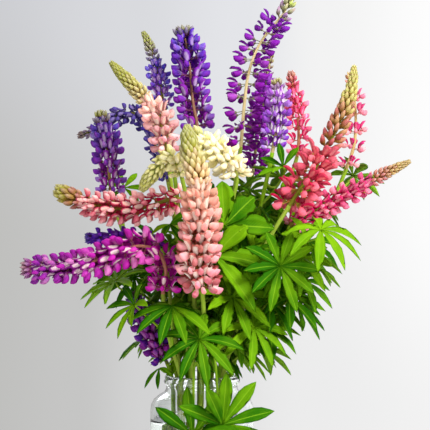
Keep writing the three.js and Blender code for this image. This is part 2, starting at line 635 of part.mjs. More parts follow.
// A flower head: whorls of separate florets up the rachis, then a cone of overlapping buds.
function flowerHead(lupin) {
  const { path, headStart, perWhorl, whorls, budRings } = lupin;
  const surface = new Surface();
  const slice = (2 * Math.PI) / perWhorl;
  const length = path.total - headStart;
  const ring = (height, turn, radius) => Array.from({ length: perWhorl }, (_, j) =>
    surface.add(path.place(headStart + height, (j + turn) * slice, radius)));
  const petal = (height, turn, share) => {
    const angle = turn * slice;
    const reach = clearReach(path, headStart + height, angle, reachAt(lupin, height / length));
    return surface.add(path.place(headStart + height, angle, Math.max(reach * share, RACHIS_RADIUS + 1)));
  };

  let below = ring(0, 0, RACHIS_RADIUS);
  surface.floor(below);
  const openLength = length * lupin.open;
  const pitch = (openLength - FIRST_WHORL) / whorls;
  for (let i = 0; i < whorls; i += 1) {
    const turn = i / 2;
    const middle = FIRST_WHORL + i * pitch;
    const low = ring(middle - pitch * ROOT_SHARE, turn, RACHIS_RADIUS);
    const high = ring(middle + pitch * ROOT_SHARE, turn, RACHIS_RADIUS);
    if (i === 0) surface.band(below, low);
    else surface.turnedBand(below, low);
    const lift = pitch * mix(LIFT_AT_BASE, LIFT_AT_TOP, i / whorls);
    for (let j = 0; j < perWhorl; j += 1) {
      const next = (j + 1) % perWhorl;
      const centre = turn + j + 0.5;
      const corners = [low[j], low[next], high[next], high[j]];
      const crown = [
        petal(middle + lift - pitch * KEEL.height, centre, KEEL.reach),
        petal(middle + lift * WING.height, centre + WING.spread, WING.reach),
        petal(middle + lift + pitch * BANNER.height, centre, BANNER.reach),
        petal(middle + lift * WING.height, centre - WING.spread, WING.reach),
      ];
      corners.forEach((corner, k) => {
        const after = (k + 1) % 4;
        surface.face(corner, corners[after], crown[k]);
        surface.face(corners[after], crown[after], crown[k]);
      });
      surface.bud(crown, petal(middle + lift, centre, 1));
    }
    below = high;
  }

  const budPitch = (length - openLength) / (budRings + 1);
  const lastTurn = (whorls - 1) / 2;
  const budHeight = (i) => openLength + (i - 0.5) * budPitch;
  const rings = [below];
  for (let i = 1; i <= budRings; i += 1) {
    rings.push(ring(budHeight(i), lastTurn + i / 2, reachAt(lupin, budHeight(i) / length) * BUD_CORE));
  }
  const tip = surface.add(path.at(path.total).spot);
  below.forEach((corner, j) => surface.face(corner, below[(j + 1) % perWhorl], rings[1][j]));
  for (let i = 1; i <= budRings; i += 1) {
    for (let j = 0; j < perWhorl; j += 1) {
      const next = (j + 1) % perWhorl;
      const above = i < budRings ? rings[i + 1][j] : tip;
      const height = budHeight(i) + budPitch * BUD_LIFT;
      const apex = path.place(headStart + height, (lastTurn + i / 2 + j + 0.5) * slice,
        reachAt(lupin, height / length));
      surface.bud([rings[i - 1][next], rings[i][next], above, rings[i][j]], surface.add(apex));
    }
  }
  return surface.geometry();
}

// The space that a head fills, with a little room round it.
function headSpace(lupin) {
  const length = lupin.path.total - lupin.headStart;
  const stops = Array.from({ length: ENVELOPE_STEPS + 1 }, (_, i) => {
    const radius = reachAt(lupin, i / ENVELOPE_STEPS) + ENVELOPE_MARGIN;
    return [lupin.headStart + (i / ENVELOPE_STEPS) * length, circumscribed(radius, ENVELOPE_SIDES)];
  });
  stops[0][0] -= ENVELOPE_FOOT;
  return tube(lupin.path, stops, ENVELOPE_SIDES);
}

const lupins = LUPINS.map((plan) => {
  const path = new Path([...plan.stem, ...plan.head].map(vector));
  return { ...plan, path, headStart: path.lengthAtPoint(plan.stem.length) };
});

function bareStem(lupin) {
  return tube(lupin.path, stemStops(lupin, 0), STEM_SIDES);
}

function bareStalk(lupin, leaf) {
  const path = stalkPath(lupin, leaf);
  const stops = path.stations(0, path.total, STALK_TOLERANCE).map((length) => [length, STALK_ROOT_RADIUS]);
  return tube(path, stops, STALK_SIDES);
}

// The round middle of a blade, where its leaflets meet.
function hubDisc(leaf) {
  const face = vector(leaf.face).normalize();
  const ends = [-HUB_THICKNESS, CLEARANCE].map((depth) => vector(leaf.hub).addScaledVector(face, depth));
  const path = new Path(ends);
  return tube(path, [0, path.total].map((length) => [length, leaf.length * NOTCH]), ENVELOPE_SIDES);
}

// Leafy stems: each leaflet keeps clear of the jar, the heads, the stems and the leaflets made before it.
function leafyStems() {
  const filled = [jarSpace(), ...lupins.map(headSpace), ...lupins.map(bareStem)];
  const stalks = lupins.map((lupin) => lupin.leaves
    .flatMap((leaf) => [bareStalk(lupin, leaf), hubDisc(leaf)]));
  return lupins.map((lupin, i) => {
    const obstacles = [...filled, ...stalks.filter((_, k) => k !== i).flat()];
    const leaves = lupin.leaves.map((leaf) => {
      const bends = Array.from({ length: leaf.count }, (_, j) => leafletBend(leaf, j, obstacles));
      const corners = bends.map((bend, j) => bend && leafletCorners(leaf, j, bend, 0));
      const leaflets = corners.filter(Boolean).map(leafletSolid);
      obstacles.push(...leaflets);
      filled.push(...leaflets);
      return palmateLeaf(lupin, leaf, corners);
    });
    return leaves.reduce((solid, leaf) => solid.add(leaf), bareStem(lupin));
  });
}

const petalMaterial = (colour) => new THREE.MeshStandardMaterial({ color: colour, roughness: 0.6 });
const leafMaterial = new THREE.MeshStandardMaterial({ color: LEAF_GREEN, roughness: 0.55 });
const clearMaterial = (tint) => new THREE.MeshStandardMaterial({
  color: tint, roughness: 0.05, transparent: true, opacity: 0.3,
});

function node(name, geometry, material) {
  const mesh = new THREE.Mesh(geometry, material);
  mesh.name = name;
  return mesh;
}

const bouquet = new THREE.Group();
bouquet.add(node('glass_jar', jarGeometry(), clearMaterial(GLASS_TINT)));
bouquet.add(node('water', waterGeometry(), clearMaterial(WATER_TINT)));
leafyStems().forEach((solid, i) => {
  const { name, colour } = lupins[i];
  bouquet.add(node(`${name}_leafy_stem`, geometryOf(solid), leafMaterial));
  bouquet.add(node(`${name}_head`, flowerHead(lupins[i]), petalMaterial(colour)));
});

export default bouquet;
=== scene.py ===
"""A bouquet of garden lupins in a glass jar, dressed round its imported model.

Sizes are in metres, with +Z up, the jar's foot at the origin and the front looking towards -Y.
The lines of the stems and the places of the leaves are the part's own, given in millimetres.
"""
import json
import math
import random

import bpy
from bpy.props import FloatProperty, FloatVectorProperty, IntProperty, PointerProperty
from mathutils import Matrix, Vector
from mathutils.kdtree import KDTree


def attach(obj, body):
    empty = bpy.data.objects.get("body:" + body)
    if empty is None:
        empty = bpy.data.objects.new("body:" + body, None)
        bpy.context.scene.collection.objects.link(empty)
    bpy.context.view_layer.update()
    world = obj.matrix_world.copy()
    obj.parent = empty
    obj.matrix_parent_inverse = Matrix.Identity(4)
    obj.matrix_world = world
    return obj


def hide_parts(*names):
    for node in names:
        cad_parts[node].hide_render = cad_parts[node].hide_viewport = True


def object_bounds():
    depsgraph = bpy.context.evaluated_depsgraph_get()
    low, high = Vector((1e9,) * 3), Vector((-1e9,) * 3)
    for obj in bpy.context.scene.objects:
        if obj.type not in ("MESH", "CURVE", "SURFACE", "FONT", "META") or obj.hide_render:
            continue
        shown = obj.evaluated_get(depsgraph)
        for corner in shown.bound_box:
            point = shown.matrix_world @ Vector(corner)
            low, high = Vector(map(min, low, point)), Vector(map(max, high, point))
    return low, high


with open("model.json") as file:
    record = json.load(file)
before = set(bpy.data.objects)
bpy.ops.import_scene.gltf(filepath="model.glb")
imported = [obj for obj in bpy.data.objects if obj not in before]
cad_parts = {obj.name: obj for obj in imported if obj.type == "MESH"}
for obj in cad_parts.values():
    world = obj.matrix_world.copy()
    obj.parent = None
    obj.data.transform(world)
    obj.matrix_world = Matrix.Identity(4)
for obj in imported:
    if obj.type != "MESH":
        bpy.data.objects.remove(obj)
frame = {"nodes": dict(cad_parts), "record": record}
CAD_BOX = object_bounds()

bl_info = {
    "name": "Lupin Bouquet",
    "version": (1, 0, 0),
    "blender": (4, 5, 0),
    "location": "View3D > Sidebar > Lupins",
    "description": "Builds a jar of cut lupins: glass, water, leafy stems and flower heads",
    "category": "Add Mesh",
}

MM = 0.001
TURN = 2 * math.pi

# Jar and water: radius and height along each profile, in millimetres, shaded smooth
JAR_WALL = [
    (0, 0), (46, 0), (52.5, 1.2), (56.2, 5.5), (57, 11), (57, 15), (57, 143), (57, 147.5), (56.2, 153.2),
    (53, 159.6), (47.3, 164), (41.6, 167.6), (39.7, 170.6), (39.4, 173), (39.5, 175.2), (41.3, 176.8),
    (42, 178.6), (41.6, 180.6), (40.9, 182), (41, 184.6), (39.8, 186.4), (38.2, 186.4), (37.1, 184.6),
    (36.8, 181), (36.8, 172), (37.4, 168.6), (39.6, 165.6), (45, 162), (50.2, 158), (52.9, 152.6),
    (53.7, 146.5), (53.7, 142), (53.7, 16), (53.6, 12.6), (52, 9.2), (48, 7.6), (44, 7.5), (0, 7.5),
]
WATER_SIDE = [(0, 7.4), (44, 7.4), (48.2, 7.5), (52.2, 9.1), (53.8, 12.6), (53.9, 16), (53.9, 135),
              (53.9, 138.6), (53.2, 138.1), (51.5, 137.8), (48, 137.7), (0, 137.7)]

# Leafy stems, as in the part
STEM_RADIUS = (3.1, 2.3)
STALK_RADIUS = (1.5, 1.1)
STALK_ARCH = 0.1
STALK_NECK = 9
HUB_THICKNESS = 2.4
PATH_SAMPLES = 14
PATH_FRONT = (0.1, -1, 0.2)
LEAFLET_RISE = 0.12
LEAFLET_HALF_WIDTH = 0.118
LEAFLET_NARROWING = 0.55
LEAFLET_UNEVEN = 0.12
LEAFLET_BENDS = (0, 0.3, -0.3, 0.6, -0.6)
LEAFLET_LENGTHS = (1, 0.82, 0.64, 0.46)

# Flower heads, as in the part
FIRST_WHORL = 6
HEAD_SHAPE = (0.86, 0.5, -0.62)
BUD_BASE = 0.64
BUD_CURVE = 1.25
TIP_REACH = 2.6
RACHIS_RADIUS = (2.1, 1.1)
FLORET_LENGTH = 22
BUD_LENGTH = 12
BUD_TILT = (math.radians(30), math.radians(74))
BUD_RING_SPACE = 4.4
BUD_CROWDING = 1.3
TIP_CUT = 4
LEVELLING = 0.8

# Leaflets, in the dressed model alone
LEAFLET_ROWS = (0.03, 0.15, 0.31, 0.47, 0.63, 0.78, 0.92)  # shares of the rib that have a row of points
COLUMNS = (-1, -0.5, 0, 0.5, 1)  # places across a leaflet or a banner, as shares of half its width
LEAFLET_FOOT = 0.13  # how wide the foot is, as a share of the widest place
LEAFLET_WIDEST = 0.62  # share of the rib where the blade is widest
LEAFLET_WIDENING = 1.06  # how much wider the blade is than the part's
LEAFLET_ROLL = 0.3  # how far, in radians, luck rolls the tip
LEAFLET_WAVE = 0.06  # how high the edges wave, as a share of half the width
FOLD_ROUNDING = 0.02  # softens the fold along the rib
FOLD_SINK = 0.14  # brings the rib back to its line after that
TIP_TOLERANCE = 0.02  # how near a corner of the solid has to be to a tip
# The length and the sides of a section of a stem and of the stalks, and how light the stalks are
STEM_SECTION = (5, 10)
STALK_SECTION = (4, 8, 0.8)
SHADE_STALK_SECTION = (6, 6, 0.4)

# Small leaves deep in the bouquet, in the dressed model alone
SHADE_HEIGHTS = range(196, 420, 8)  # where their stalks leave the stem
SHADE_BELOW_HEAD = 12  # how far below the head the last one has to start
SHADE_LENGTHS = (34, 46)
SHADE_COUNTS = (7, 8, 9)
SHADE_DISTANCES = (14, 34)  # from the stem to the hub
SHADE_DISTANCES_RIGHT = (14, 52)  # the same at the right, where the stems stand further apart
SHADE_RIGHT = 30  # where that starts
SHADE_RISE = (6, 22)
SHADE_SPACE = 19  # between hubs
SHADE_FOREMOST = -34  # the foremost hub
SHADE_TOP = 412  # the highest hub
SHADE_TOP_LEFT = 335  # the highest one at the left, where the foliage is lower
SHADE_LEFT = 12  # where the left ends
SHADE_SPACE_BEHIND = 6  # from a hub behind a flower head to the head
SHADE_SPACE_BESIDE = 24  # from any other hub
SHADE_BEHIND = 12  # how far back counts as behind

# Flower heads, in the dressed model alone
WHORL_LUCK = 2.2  # how far a floret strays along the rachis
TURN_LUCK = 0.13  # how far it strays round it, as a share of the space between florets
BUD_TURN_LUCK = 0.1
TILT_LUCK = 0.14
FLORET_SIZES = (0.94, 1.1)
BUD_SIZES = (0.86, 1.0)
RACHIS_SIDES = 8


def palmate_leaf(height, hub, face, length, count, droop, via=None, turn=0, broad=1, own_lightness_and_painted_light=None):
    """A leaf: the height at which its stalk leaves the stem, its hub and the way that it faces.

    length and count are those of its leaflets, and droop is how far they hang. via is a point that the
    stalk passes, turn how far the leaflets are turned about the hub as a share of the space between them,
    broad how many times as wide as usual they are, and the last one how light their green is, from 0 to 1:
    partly the leaf's own green, partly painted light on leaves that stood in the light and painted shade on
    leaves in shade.
    """
    return {"height": height, "hub": hub, "face": face, "length": length, "count": count, "droop": droop,
            "via": via, "turn": turn, "broad": broad, "own_lightness_and_painted_light": own_lightness_and_painted_light}


# What a lupin has where its own entry says nothing else
PLAIN_LUPIN = {
    "bare": 0.0,  # share of florets that have dropped off the side that faces the front
    "shut": 0,  # degrees by which banners lie closer to the wings
    "stalk": 0,  # how much longer the pedicels are
    "plump": 1.12,  # how wide the florets are, and how deep where deep isn't given
    "pale": 0.9,  # how strong the middle of the banner shows
    "lean": (0, 0),  # how many degrees more the lowest and the highest florets lean
    "blunt": BUD_CURVE,  # how blunt the tip is
    "leaves": [],
}

# Each lupin: its name, stem and head lines and leaves as in the part, its florets and its colours. reach is
# how far the florets reach from the rachis, open the share of the head whose florets are open, per_whorl the
# florets in a whorl, and pitch the space between whorls at the base and at the top of the open florets. buds
# has the buds in a ring, the space between rings and the reach of the lowest ones as a share of the head's.
# In look, young is for the youngest open florets, patch for the banner's middle, heart and edge for the
# inside and the edge of the wings, and tip for the highest buds.
# Where a leaf is given how light its green is, that is partly its own green, partly painted light on leaves
# that stood in the light and painted shade on leaves in shade.
LUPINS = [{**PLAIN_LUPIN, **each} for each in (
    dict(name="magenta_left", reach=22, open=0.95, per_whorl=9, pitch=(12, 9), bare=0.75, stalk=1.5,
         plump=0.85, deep=1.1, pale=0.75, lean=(10, 10),
         stem=[(-25, -23, 9), (-22, -20, 178), (-34, -38, 228)],
         head=[(-41, -51, 278), (-38, -55, 304), (-47, -57, 324), (-66, -58, 329), (-90, -60, 322),
               (-120, -61, 311), (-152, -61, 306), (-186, -60, 306)],
         leaves=[palmate_leaf(216, (-31, -68, 266), (0.05, -0.72, 0.69), 49, 10, 0.5, own_lightness_and_painted_light=0.35),
                 palmate_leaf(232, (-72, -46, 266), (-0.55, -0.6, 0.58), 40, 8, 0.45)],
         look=dict(wing="dd2abd", young="8a2e9f", banner="c017a3", patch="f6e8dc", heart="e8a8d4",
                   edge="bc1b9f", bud="8a3a8e", tip="8a5a70", green="9a6a4c", rachis="b87c66")),
    dict(name="rose_left", reach=21, open=0.78, per_whorl=8, pitch=(13, 9), bare=0.55, stalk=2.5, plump=0.9,
         deep=1.1, pale=1.0, lean=(14, 8), blunt=2.2, buds=(7, 4.6, 0.66),
         stem=[(-14, -16, 9), (-12, -14, 178), (-12, -24, 290), (-8, -28, 352)],
         head=[(-19, -28, 378), (-40, -30, 377), (-62, -31, 370), (-95, -32, 369), (-119, -31, 374),
               (-139, -30, 381), (-156, -28, 389)],
         leaves=[palmate_leaf(296, (-34, -42, 352), (-0.2, -0.85, 0.49), 30, 8, 0.4)],
         look=dict(wing="f8ccca", young="cc6c78", banner="d01858", patch="f8e4d2", heart="dc3470",
                   edge="fae0da", bud="b0645e", tip="9c9a2c", green="94a030", rachis="8f8a30")),
    dict(name="salmon_front", reach=25, open=0.62, per_whorl=9, pitch=(12, 9.5), bare=0.15, stalk=2,
         plump=0.88, deep=1.25, pale=1.0, lean=(4, 0), blunt=1.8, buds=(9, 4.2, 0.66),
         stem=[(0, -34, 9), (0, -31, 178), (3, -52, 224)],
         head=[(1, -80, 282), (-3, -88, 302), (-3, -91, 322), (-1, -92, 347), (-1, -92, 377),
               (-4, -92, 402), (-9, -92, 420), (-12, -92, 436), (-15, -90, 455)],
         leaves=[palmate_leaf(206, (-2, -76, 232), (0.05, -0.86, 0.5), 48, 9, 0.6, own_lightness_and_painted_light=0.22),
                 palmate_leaf(190, (-9, -84, 133), (-0.1, -0.95, 0.3), 54, 8, 0.1, via=(-7, -76, 206),
                              turn=0.17, own_lightness_and_painted_light=0.2)],
         look=dict(wing="ea98ac", young="efc4a6", banner="bc5854", patch="fff8ea", bud="eccc9c",
                   tip="a4a628", green="8a7c2c", rachis="9a7438")),
    dict(name="salmon_high", reach=20, open=0.5, per_whorl=7, pitch=(13, 10), shut=6, plump=0.95, deep=1.25,
         lean=(6, 6), blunt=1.5, buds=(8, 4.4, 0.6),
         stem=[(-16, -4, 9), (-14, -4, 178), (-22, -5, 300), (-31, -7, 374)],
         head=[(-38, -18, 430), (-42, -23, 451), (-48, -26, 468), (-59, -27, 484), (-72, -28, 499),
               (-86, -28, 514), (-99, -28, 528)],
         look=dict(wing="f8ced4", young="f4d0bc", banner="dc9aa2", patch="f8ecd8", bud="d4c68c",
                   tip="a0a430", green="9a9a38", rachis="9e9040")),
    dict(name="cream_nodding", reach=17, open=0.44, per_whorl=7, pitch=(9, 8), shut=-12, plump=1.1,
         blunt=1.8, buds=(8, 4.4, 0.72),
         stem=[(-12, -28, 9), (-10, -25, 178), (-8, -40, 280), (-13, -52, 360)],
         head=[(-21, -56, 402), (-25, -58, 414), (-31, -59, 421), (-39, -60, 420), (-47, -61, 411),
               (-55, -61, 401), (-64, -60, 388)],
         leaves=[palmate_leaf(262, (14, -60, 318), (0.3, -0.9, 0.3), 64, 7, 0.5, broad=1.3, own_lightness_and_painted_light=0.8)],
         look=dict(wing="f0e8c0", young="e4e09a", banner="ece4ac", patch="f8f2da", heart="c8d070",
                   edge="f2ecc4", bud="e6e0a0", tip="bab650", green="9ca83a", rachis="a4b040")),
    dict(name="white_middle", reach=24, open=0.9, per_whorl=9, pitch=(12, 9), shut=-30, plump=0.85,
         stem=[(9, -10, 9), (8, -9, 178), (18, -12, 290), (33, -18, 376)],
         head=[(38, -20, 403), (32, -17, 416), (19, -12, 430), (5, -7, 441), (-7, -2, 449)],
         leaves=[palmate_leaf(292, (24, -56, 350), (0.25, -0.93, 0.28), 56, 8, 0.15, broad=1.7, own_lightness_and_painted_light=0.65),
                 palmate_leaf(232, (33, -46, 274), (0.3, -0.75, 0.59), 48, 9, 0.5, own_lightness_and_painted_light=0.85),
                 palmate_leaf(206, (22, -84, 144), (0.2, -0.93, 0.3), 60, 10, 0.1, via=(14, -70, 212),
                              turn=0.4, own_lightness_and_painted_light=0.28)],
         look=dict(wing="f6eccc", young="ffffc9", banner="f6efd6", patch="faf4e2", heart="efe899",
                   edge="f6eed2", bud="eae6a4", tip="c4c05c", green="aab048", rachis="b0b650")),
    dict(name="indigo_left", reach=21, open=0.84, per_whorl=7, pitch=(10, 8), bare=0.6, stalk=3, plump=0.95,
         deep=1.2, pale=0.5, lean=(20, 8),
         stem=[(-31, 11, 9), (-27, 10, 178), (-50, 20, 250), (-88, 32, 340)],
         head=[(-102, 35, 384), (-105, 35, 409), (-107, 35, 437), (-112, 35, 462), (-115, 35, 478)],
         leaves=[palmate_leaf(338, (-90, 60, 393), (0.2, -0.8, 0.56), 28, 7, 0.2),
                 palmate_leaf(262, (-96, 50, 300), (-0.7, 0.45, 0.55), 46, 7, 0.5)],
         look=dict(wing="7a2eae", young="4e4cac", banner="a030a8", patch="f0dcec", heart="a660b4",
                   bud="6a5c8e", tip="949a3c", green="857038", rachis="b09450")),
    dict(name="indigo_arching", reach=15, open=0.86, per_whorl=5, pitch=(13, 10),
         stem=[(-18, 28, 9), (-16, 25, 178), (-26, 54, 300)],
         head=[(-40, 76, 400), (-53, 78, 436), (-62, 78, 462), (-76, 78, 479), (-93, 78, 479),
               (-111, 77, 470), (-128, 76, 459), (-145, 74, 453)],
         leaves=[palmate_leaf(262, (-46, 84, 298), (-0.3, 0.75, 0.59), 48, 7, 0.5)],
         look=dict(wing="42309a", young="62508e", banner="402c90", patch="9a88c0", bud="786486",
                   tip="847060", green="807a48", rachis="827c44")),
    dict(name="blue_high", reach=16, open=0.6, per_whorl=7, pitch=(11, 8), stalk=2, plump=0.95, deep=1.15,
         lean=(18, 6),
         stem=[(-15, 16, 9), (-13, 14, 178), (-22, 40, 320), (-35, 62, 430)],
         head=[(-43, 70, 482), (-49, 70, 508), (-54, 70, 534), (-61, 70, 557), (-69, 70, 574)],
         leaves=[palmate_leaf(236, (-44, 44, 262), (-0.6, 0.55, 0.58), 42, 7, 0.5)],
         look=dict(wing="4c3abe", young="545aca", banner="a152c2", patch="dab8e0", bud="8880a6",
                   tip="a6ae4c", green="8f9440", rachis="a49c48")),
    dict(name="violet_high", reach=24, open=0.94, per_whorl=8, pitch=(10, 8), bare=0.65, stalk=3.5,
         plump=0.95, deep=1.2, pale=0.65, lean=(18, 6),
         stem=[(-3, 9, 9), (-3, 8, 178), (-4, 26, 320)],
         head=[(-5, 40, 456), (-11, 40, 492), (-14, 40, 526), (-18, 40, 552), (-21, 40, 569)],
         leaves=[palmate_leaf(214, (0, 58, 240), (0.1, 0.8, 0.59), 44, 7, 0.55),
                 palmate_leaf(300, (-4, 62, 346), (0, 0.7, 0.71), 42, 7, 0.45)],
         look=dict(wing="8238bc", young="5638bc", banner="a02cb4", patch="e2caea", bud="6a6484",
                   tip="8f9448", green="8c6050", rachis="a87a60")),
    dict(name="purple_tall", reach=23, open=0.82, per_whorl=7, pitch=(16.5, 9), bare=0.85, shut=38,
         stalk=2.5, plump=1.0, deep=1.15, pale=0.4, lean=(0, -6), buds=(5, 6, 0.6),
         stem=[(12, 3, 9), (10, 3, 178), (24, 10, 300), (36, 16, 390)],
         head=[(43, 20, 438), (47, 20, 485), (51, 20, 516), (58, 20, 540), (68, 20, 559), (80, 20, 574),
               (92, 20, 589), (101, 20, 609)],
         look=dict(wing="9614aa", young="8e2cb6", banner="7e0e92", patch="d28ccc", bud="a884b0",
                   tip="c4d868", green="9aa850", rachis="d2c294")),
    dict(name="lilac_right", reach=18, open=0.84, per_whorl=10, pitch=(11, 8.5), bare=0.1, shut=-8,
         stalk=2.5, plump=0.75, deep=1.0, pale=0.85, lean=(32, 14), buds=(5, 4.5, 0.62),
         stem=[(21, -14, 9), (18, -12, 178), (40, -14, 280), (66, -12, 380)],
         head=[(77, -10, 430), (82, -10, 464), (84, -10, 490), (82, -10, 510)],
         leaves=[palmate_leaf(372, (88, -32, 414), (-0.2, -0.75, 0.63), 32, 7, 0.15),
                 palmate_leaf(276, (55, -40, 322), (0.3, -0.8, 0.52), 46, 8, 0.45)],
         look=dict(wing="9044c8", young="b670c8", banner="a04cc8", patch="fbf4ee", bud="a884b4",
                   tip="a8a650", green="a08a4c", rachis="c8b880")),
    dict(name="plum_right", reach=18, open=0.78, per_whorl=8, pitch=(13, 11), bare=0.1, shut=14, pale=0.5,
         buds=(4, 6.0, 0.42),
         stem=[(10, 21, 9), (9, 18, 178), (26, 38, 300), (46, 55, 370)],
         head=[(57, 62, 408), (62, 62, 446), (68, 62, 482), (74, 62, 518), (80, 62, 552)],
         leaves=[palmate_leaf(250, (22, 76, 290), (0.2, 0.8, 0.57), 48, 7, 0.5)],
         look=dict(wing="aa1cbc", young="a440c8", banner="900ea0", patch="b880c4", heart="841486",
                   bud="9c78a0", tip="b8b860", green="886048", rachis="c0b880")),
    dict(name="rose_high", reach=16, open=0.8, per_whorl=6, pitch=(15, 11), bare=0.1, shut=4, stalk=2,
         plump=1.0, deep=1.3, pale=0.4, lean=(10, 4),
         stem=[(22, 25, 9), (20, 22, 178), (60, 60, 300), (95, 84, 390)],
         head=[(110, 90, 430), (112, 90, 461), (110, 90, 484), (106, 90, 508), (103, 90, 530)],
         leaves=[palmate_leaf(268, (74, 94, 300), (0.5, 0.65, 0.57), 46, 7, 0.5),
                 palmate_leaf(222, (52, 64, 246), (0.45, 0.65, 0.61), 42, 7, 0.55)],
         look=dict(wing="f8b4c4", young="f07898", banner="ec3c84", patch="fac8dc", heart="e83c80",
                   edge="faa0e6", bud="dc5a84", tip="c8987c", green="c08a68", rachis="c8906a")),
    dict(name="coral_right", reach=25, open=0.42, per_whorl=9, pitch=(14, 11), bare=0.45, shut=12,
         stalk=3.5, plump=1.05, deep=1.35, pale=0.4, lean=(-14, -6), buds=(6, 6.4, 0.68),
         stem=[(25, -23, 9), (22, -21, 178), (36, -30, 235), (66, -38, 324)],
         head=[(94, -41, 372), (107, -41, 392), (122, -39, 413), (135, -36, 435), (146, -34, 457),
               (155, -32, 479), (162, -30, 502), (165, -28, 525)],
         leaves=[palmate_leaf(258, (83, -66, 308), (0.15, -0.95, 0.28), 47, 10, 0.3, own_lightness_and_painted_light=0.3),
                 palmate_leaf(330, (126, -64, 346), (0.25, -0.55, 0.8), 50, 9, 0.9, own_lightness_and_painted_light=0.9),
                 palmate_leaf(210, (56, -52, 242), (0.45, -0.7, 0.55), 44, 9, 0.6, own_lightness_and_painted_light=0.8)],
         look=dict(wing="e46a86", young="dc7480", banner="cc1c50", patch="f6b8b0", heart="e64a69",
                   edge="ef8392", bud="b8505a", tip="c4c672", green="8f9428", rachis="8a8a24")),
    dict(name="pink_behind", reach=16, open=0.86, per_whorl=5, pitch=(18, 15), bare=0.1, shut=16, stalk=2,
         plump=1.05, deep=1.3, pale=0.3, lean=(14, 8),
         stem=[(33, 9, 9), (30, 8, 178), (60, 20, 250), (110, 36, 332), (146, 43, 377)],
         head=[(163, 45, 414), (172, 45, 441), (174, 45, 470), (172, 45, 498), (167, 45, 524)],
         leaves=[palmate_leaf(290, (120, 66, 318), (0.6, 0.5, 0.62), 46, 7, 0.5)],
         look=dict(wing="eab8b6", young="e0789e", banner="da3086", patch="fad4d8", heart="da3086",
                   edge="e69aae", bud="c87a72", tip="c4b468", green="d8bc8c", rachis="d0b880")),
    dict(name="pink_low_right", reach=17, open=0.66, per_whorl=7, pitch=(13, 9), bare=0.15, stalk=0.5,
         plump=0.95, deep=1.3, pale=0.4, lean=(10, 6),
         stem=[(33, -4, 9), (30, -4, 178), (52, 2, 240), (90, 10, 320)],
         head=[(97, 10, 349), (111, 13, 359), (128, 15, 367), (146, 13, 377), (165, 10, 387), (187, 8, 400),
               (210, 6, 412), (231, 4, 422)],
         leaves=[palmate_leaf(230, (74, -16, 268), (0.6, -0.5, 0.62), 46, 8, 0.55),
                 palmate_leaf(300, (116, -18, 334), (0.45, -0.65, 0.61), 42, 7, 0.45)],
         look=dict(wing="f4a4bc", young="d8548c", banner="e42074", patch="f8d4c8", heart="e6468c",
                   edge="fca8c3", bud="cc7c86", tip="b8a868", green="a89a40", rachis="8f8a34")),
    dict(name="purple_behind", reach=14, open=0.92, per_whorl=6, pitch=(13, 10), plump=1.3, pale=0.2,
         stem=[(-26, -10, 9), (-23, -9, 178), (-33, -9, 250), (-38, -8, 300)],
         head=[(-46, -8, 324), (-62, -10, 334), (-84, -12, 338), (-105, -12, 338), (-126, -12, 337)],
         leaves=[palmate_leaf(252, (-94, -20, 290), (-0.45, -0.3, 0.84), 46, 8, 0.45, via=(-68, 13, 274),
                              own_lightness_and_painted_light=0.9)],
         look=dict(wing="7410b0", young="4424a8", banner="8414a8", patch="b078b4", heart="4a0c90",
                   bud="4a30a0", tip="4c4ca0", green="6a4a78", rachis="7a6260")),
    dict(name="violet_low", reach=19, open=0.84, per_whorl=6, pitch=(11, 8), shut=4, stalk=1.5, plump=1.05,
         deep=1.35, pale=0.5, lean=(12, 6),
         stem=[(-35, -4, 9), (-32.5, -4, 178)],
         head=[(-38, -12, 200), (-49, -13, 218), (-60, -13, 238), (-69, -13, 257), (-75, -13, 277)],
         leaves=[palmate_leaf(191, (-46, -24, 196), (-0.6, -0.6, 0.53), 23, 6, 0.7)],
         look=dict(wing="5c1c9c", young="54289c", banner="a02e94", patch="b878b8", heart="4a1276",
                   bud="604c94", tip="787858", green="6a6038", rachis="6f7a30")),
)]


class BouquetSizes(bpy.types.PropertyGroup):
    """Sizes that a user would change."""

    jar_facets: IntProperty(
        name="Jar Facets", description="Faces round the glass jar", default=96, min=24)
    blade_thickness: FloatProperty(
        name="Blade Thickness", description="Thickness of a leaflet", default=0.5 * MM, unit="LENGTH")
    leaf_fold: FloatProperty(
        name="Leaf Fold", description="How steeply a leaflet folds up along its rib", default=0.62)
    floret_tilt: FloatProperty(
        name="Floret Tilt", description="Lean of the lowest florets towards the tip",
        default=math.radians(-10), subtype="ANGLE")
    upper_tilt: FloatProperty(
        name="Upper Tilt", description="Lean of the highest open florets towards the tip",
        default=math.radians(24), subtype="ANGLE")
    droop: FloatProperty(
        name="Droop", description="How far the florets hang under their weight", default=0.12)


class BouquetColours(bpy.types.PropertyGroup):
    """Colours that a user would change."""

    leaf: FloatVectorProperty(
        name="Leaf", description="Upper side of a leaflet", default=(0.018, 0.115, 0.001), subtype="COLOR")
    # The lighter green: the leaflets' own lighter green, and also painted light on leaves that stood in the
    # light.
    lighter_green_and_painted_light: FloatVectorProperty(
        name="Young Leaf", description="Upper side of the lightest leaflets",
        default=(0.22, 0.44, 0.005), subtype="COLOR")
    underside: FloatVectorProperty(
        name="Underside", description="Back of a leaflet", default=(0.17, 0.34, 0.02), subtype="COLOR")
    rib: FloatVectorProperty(
        name="Rib", description="Middle line of a leaflet", default=(0.20, 0.38, 0.012), subtype="COLOR")
    stem: FloatVectorProperty(
        name="Stem", description="Stems and leaf stalks", default=(0.30, 0.38, 0.05), subtype="COLOR")
    glass: FloatVectorProperty(
        name="Glass", description="Tint of the jar", default=(0.96, 0.985, 0.975), subtype="COLOR")
    water: FloatVectorProperty(
        name="Water", description="Tint of the water", default=(0.97, 0.99, 0.965), subtype="COLOR")
    floor: FloatVectorProperty(
        name="Floor", description="The plain floor", default=(0.75, 0.75, 0.75), subtype="COLOR")


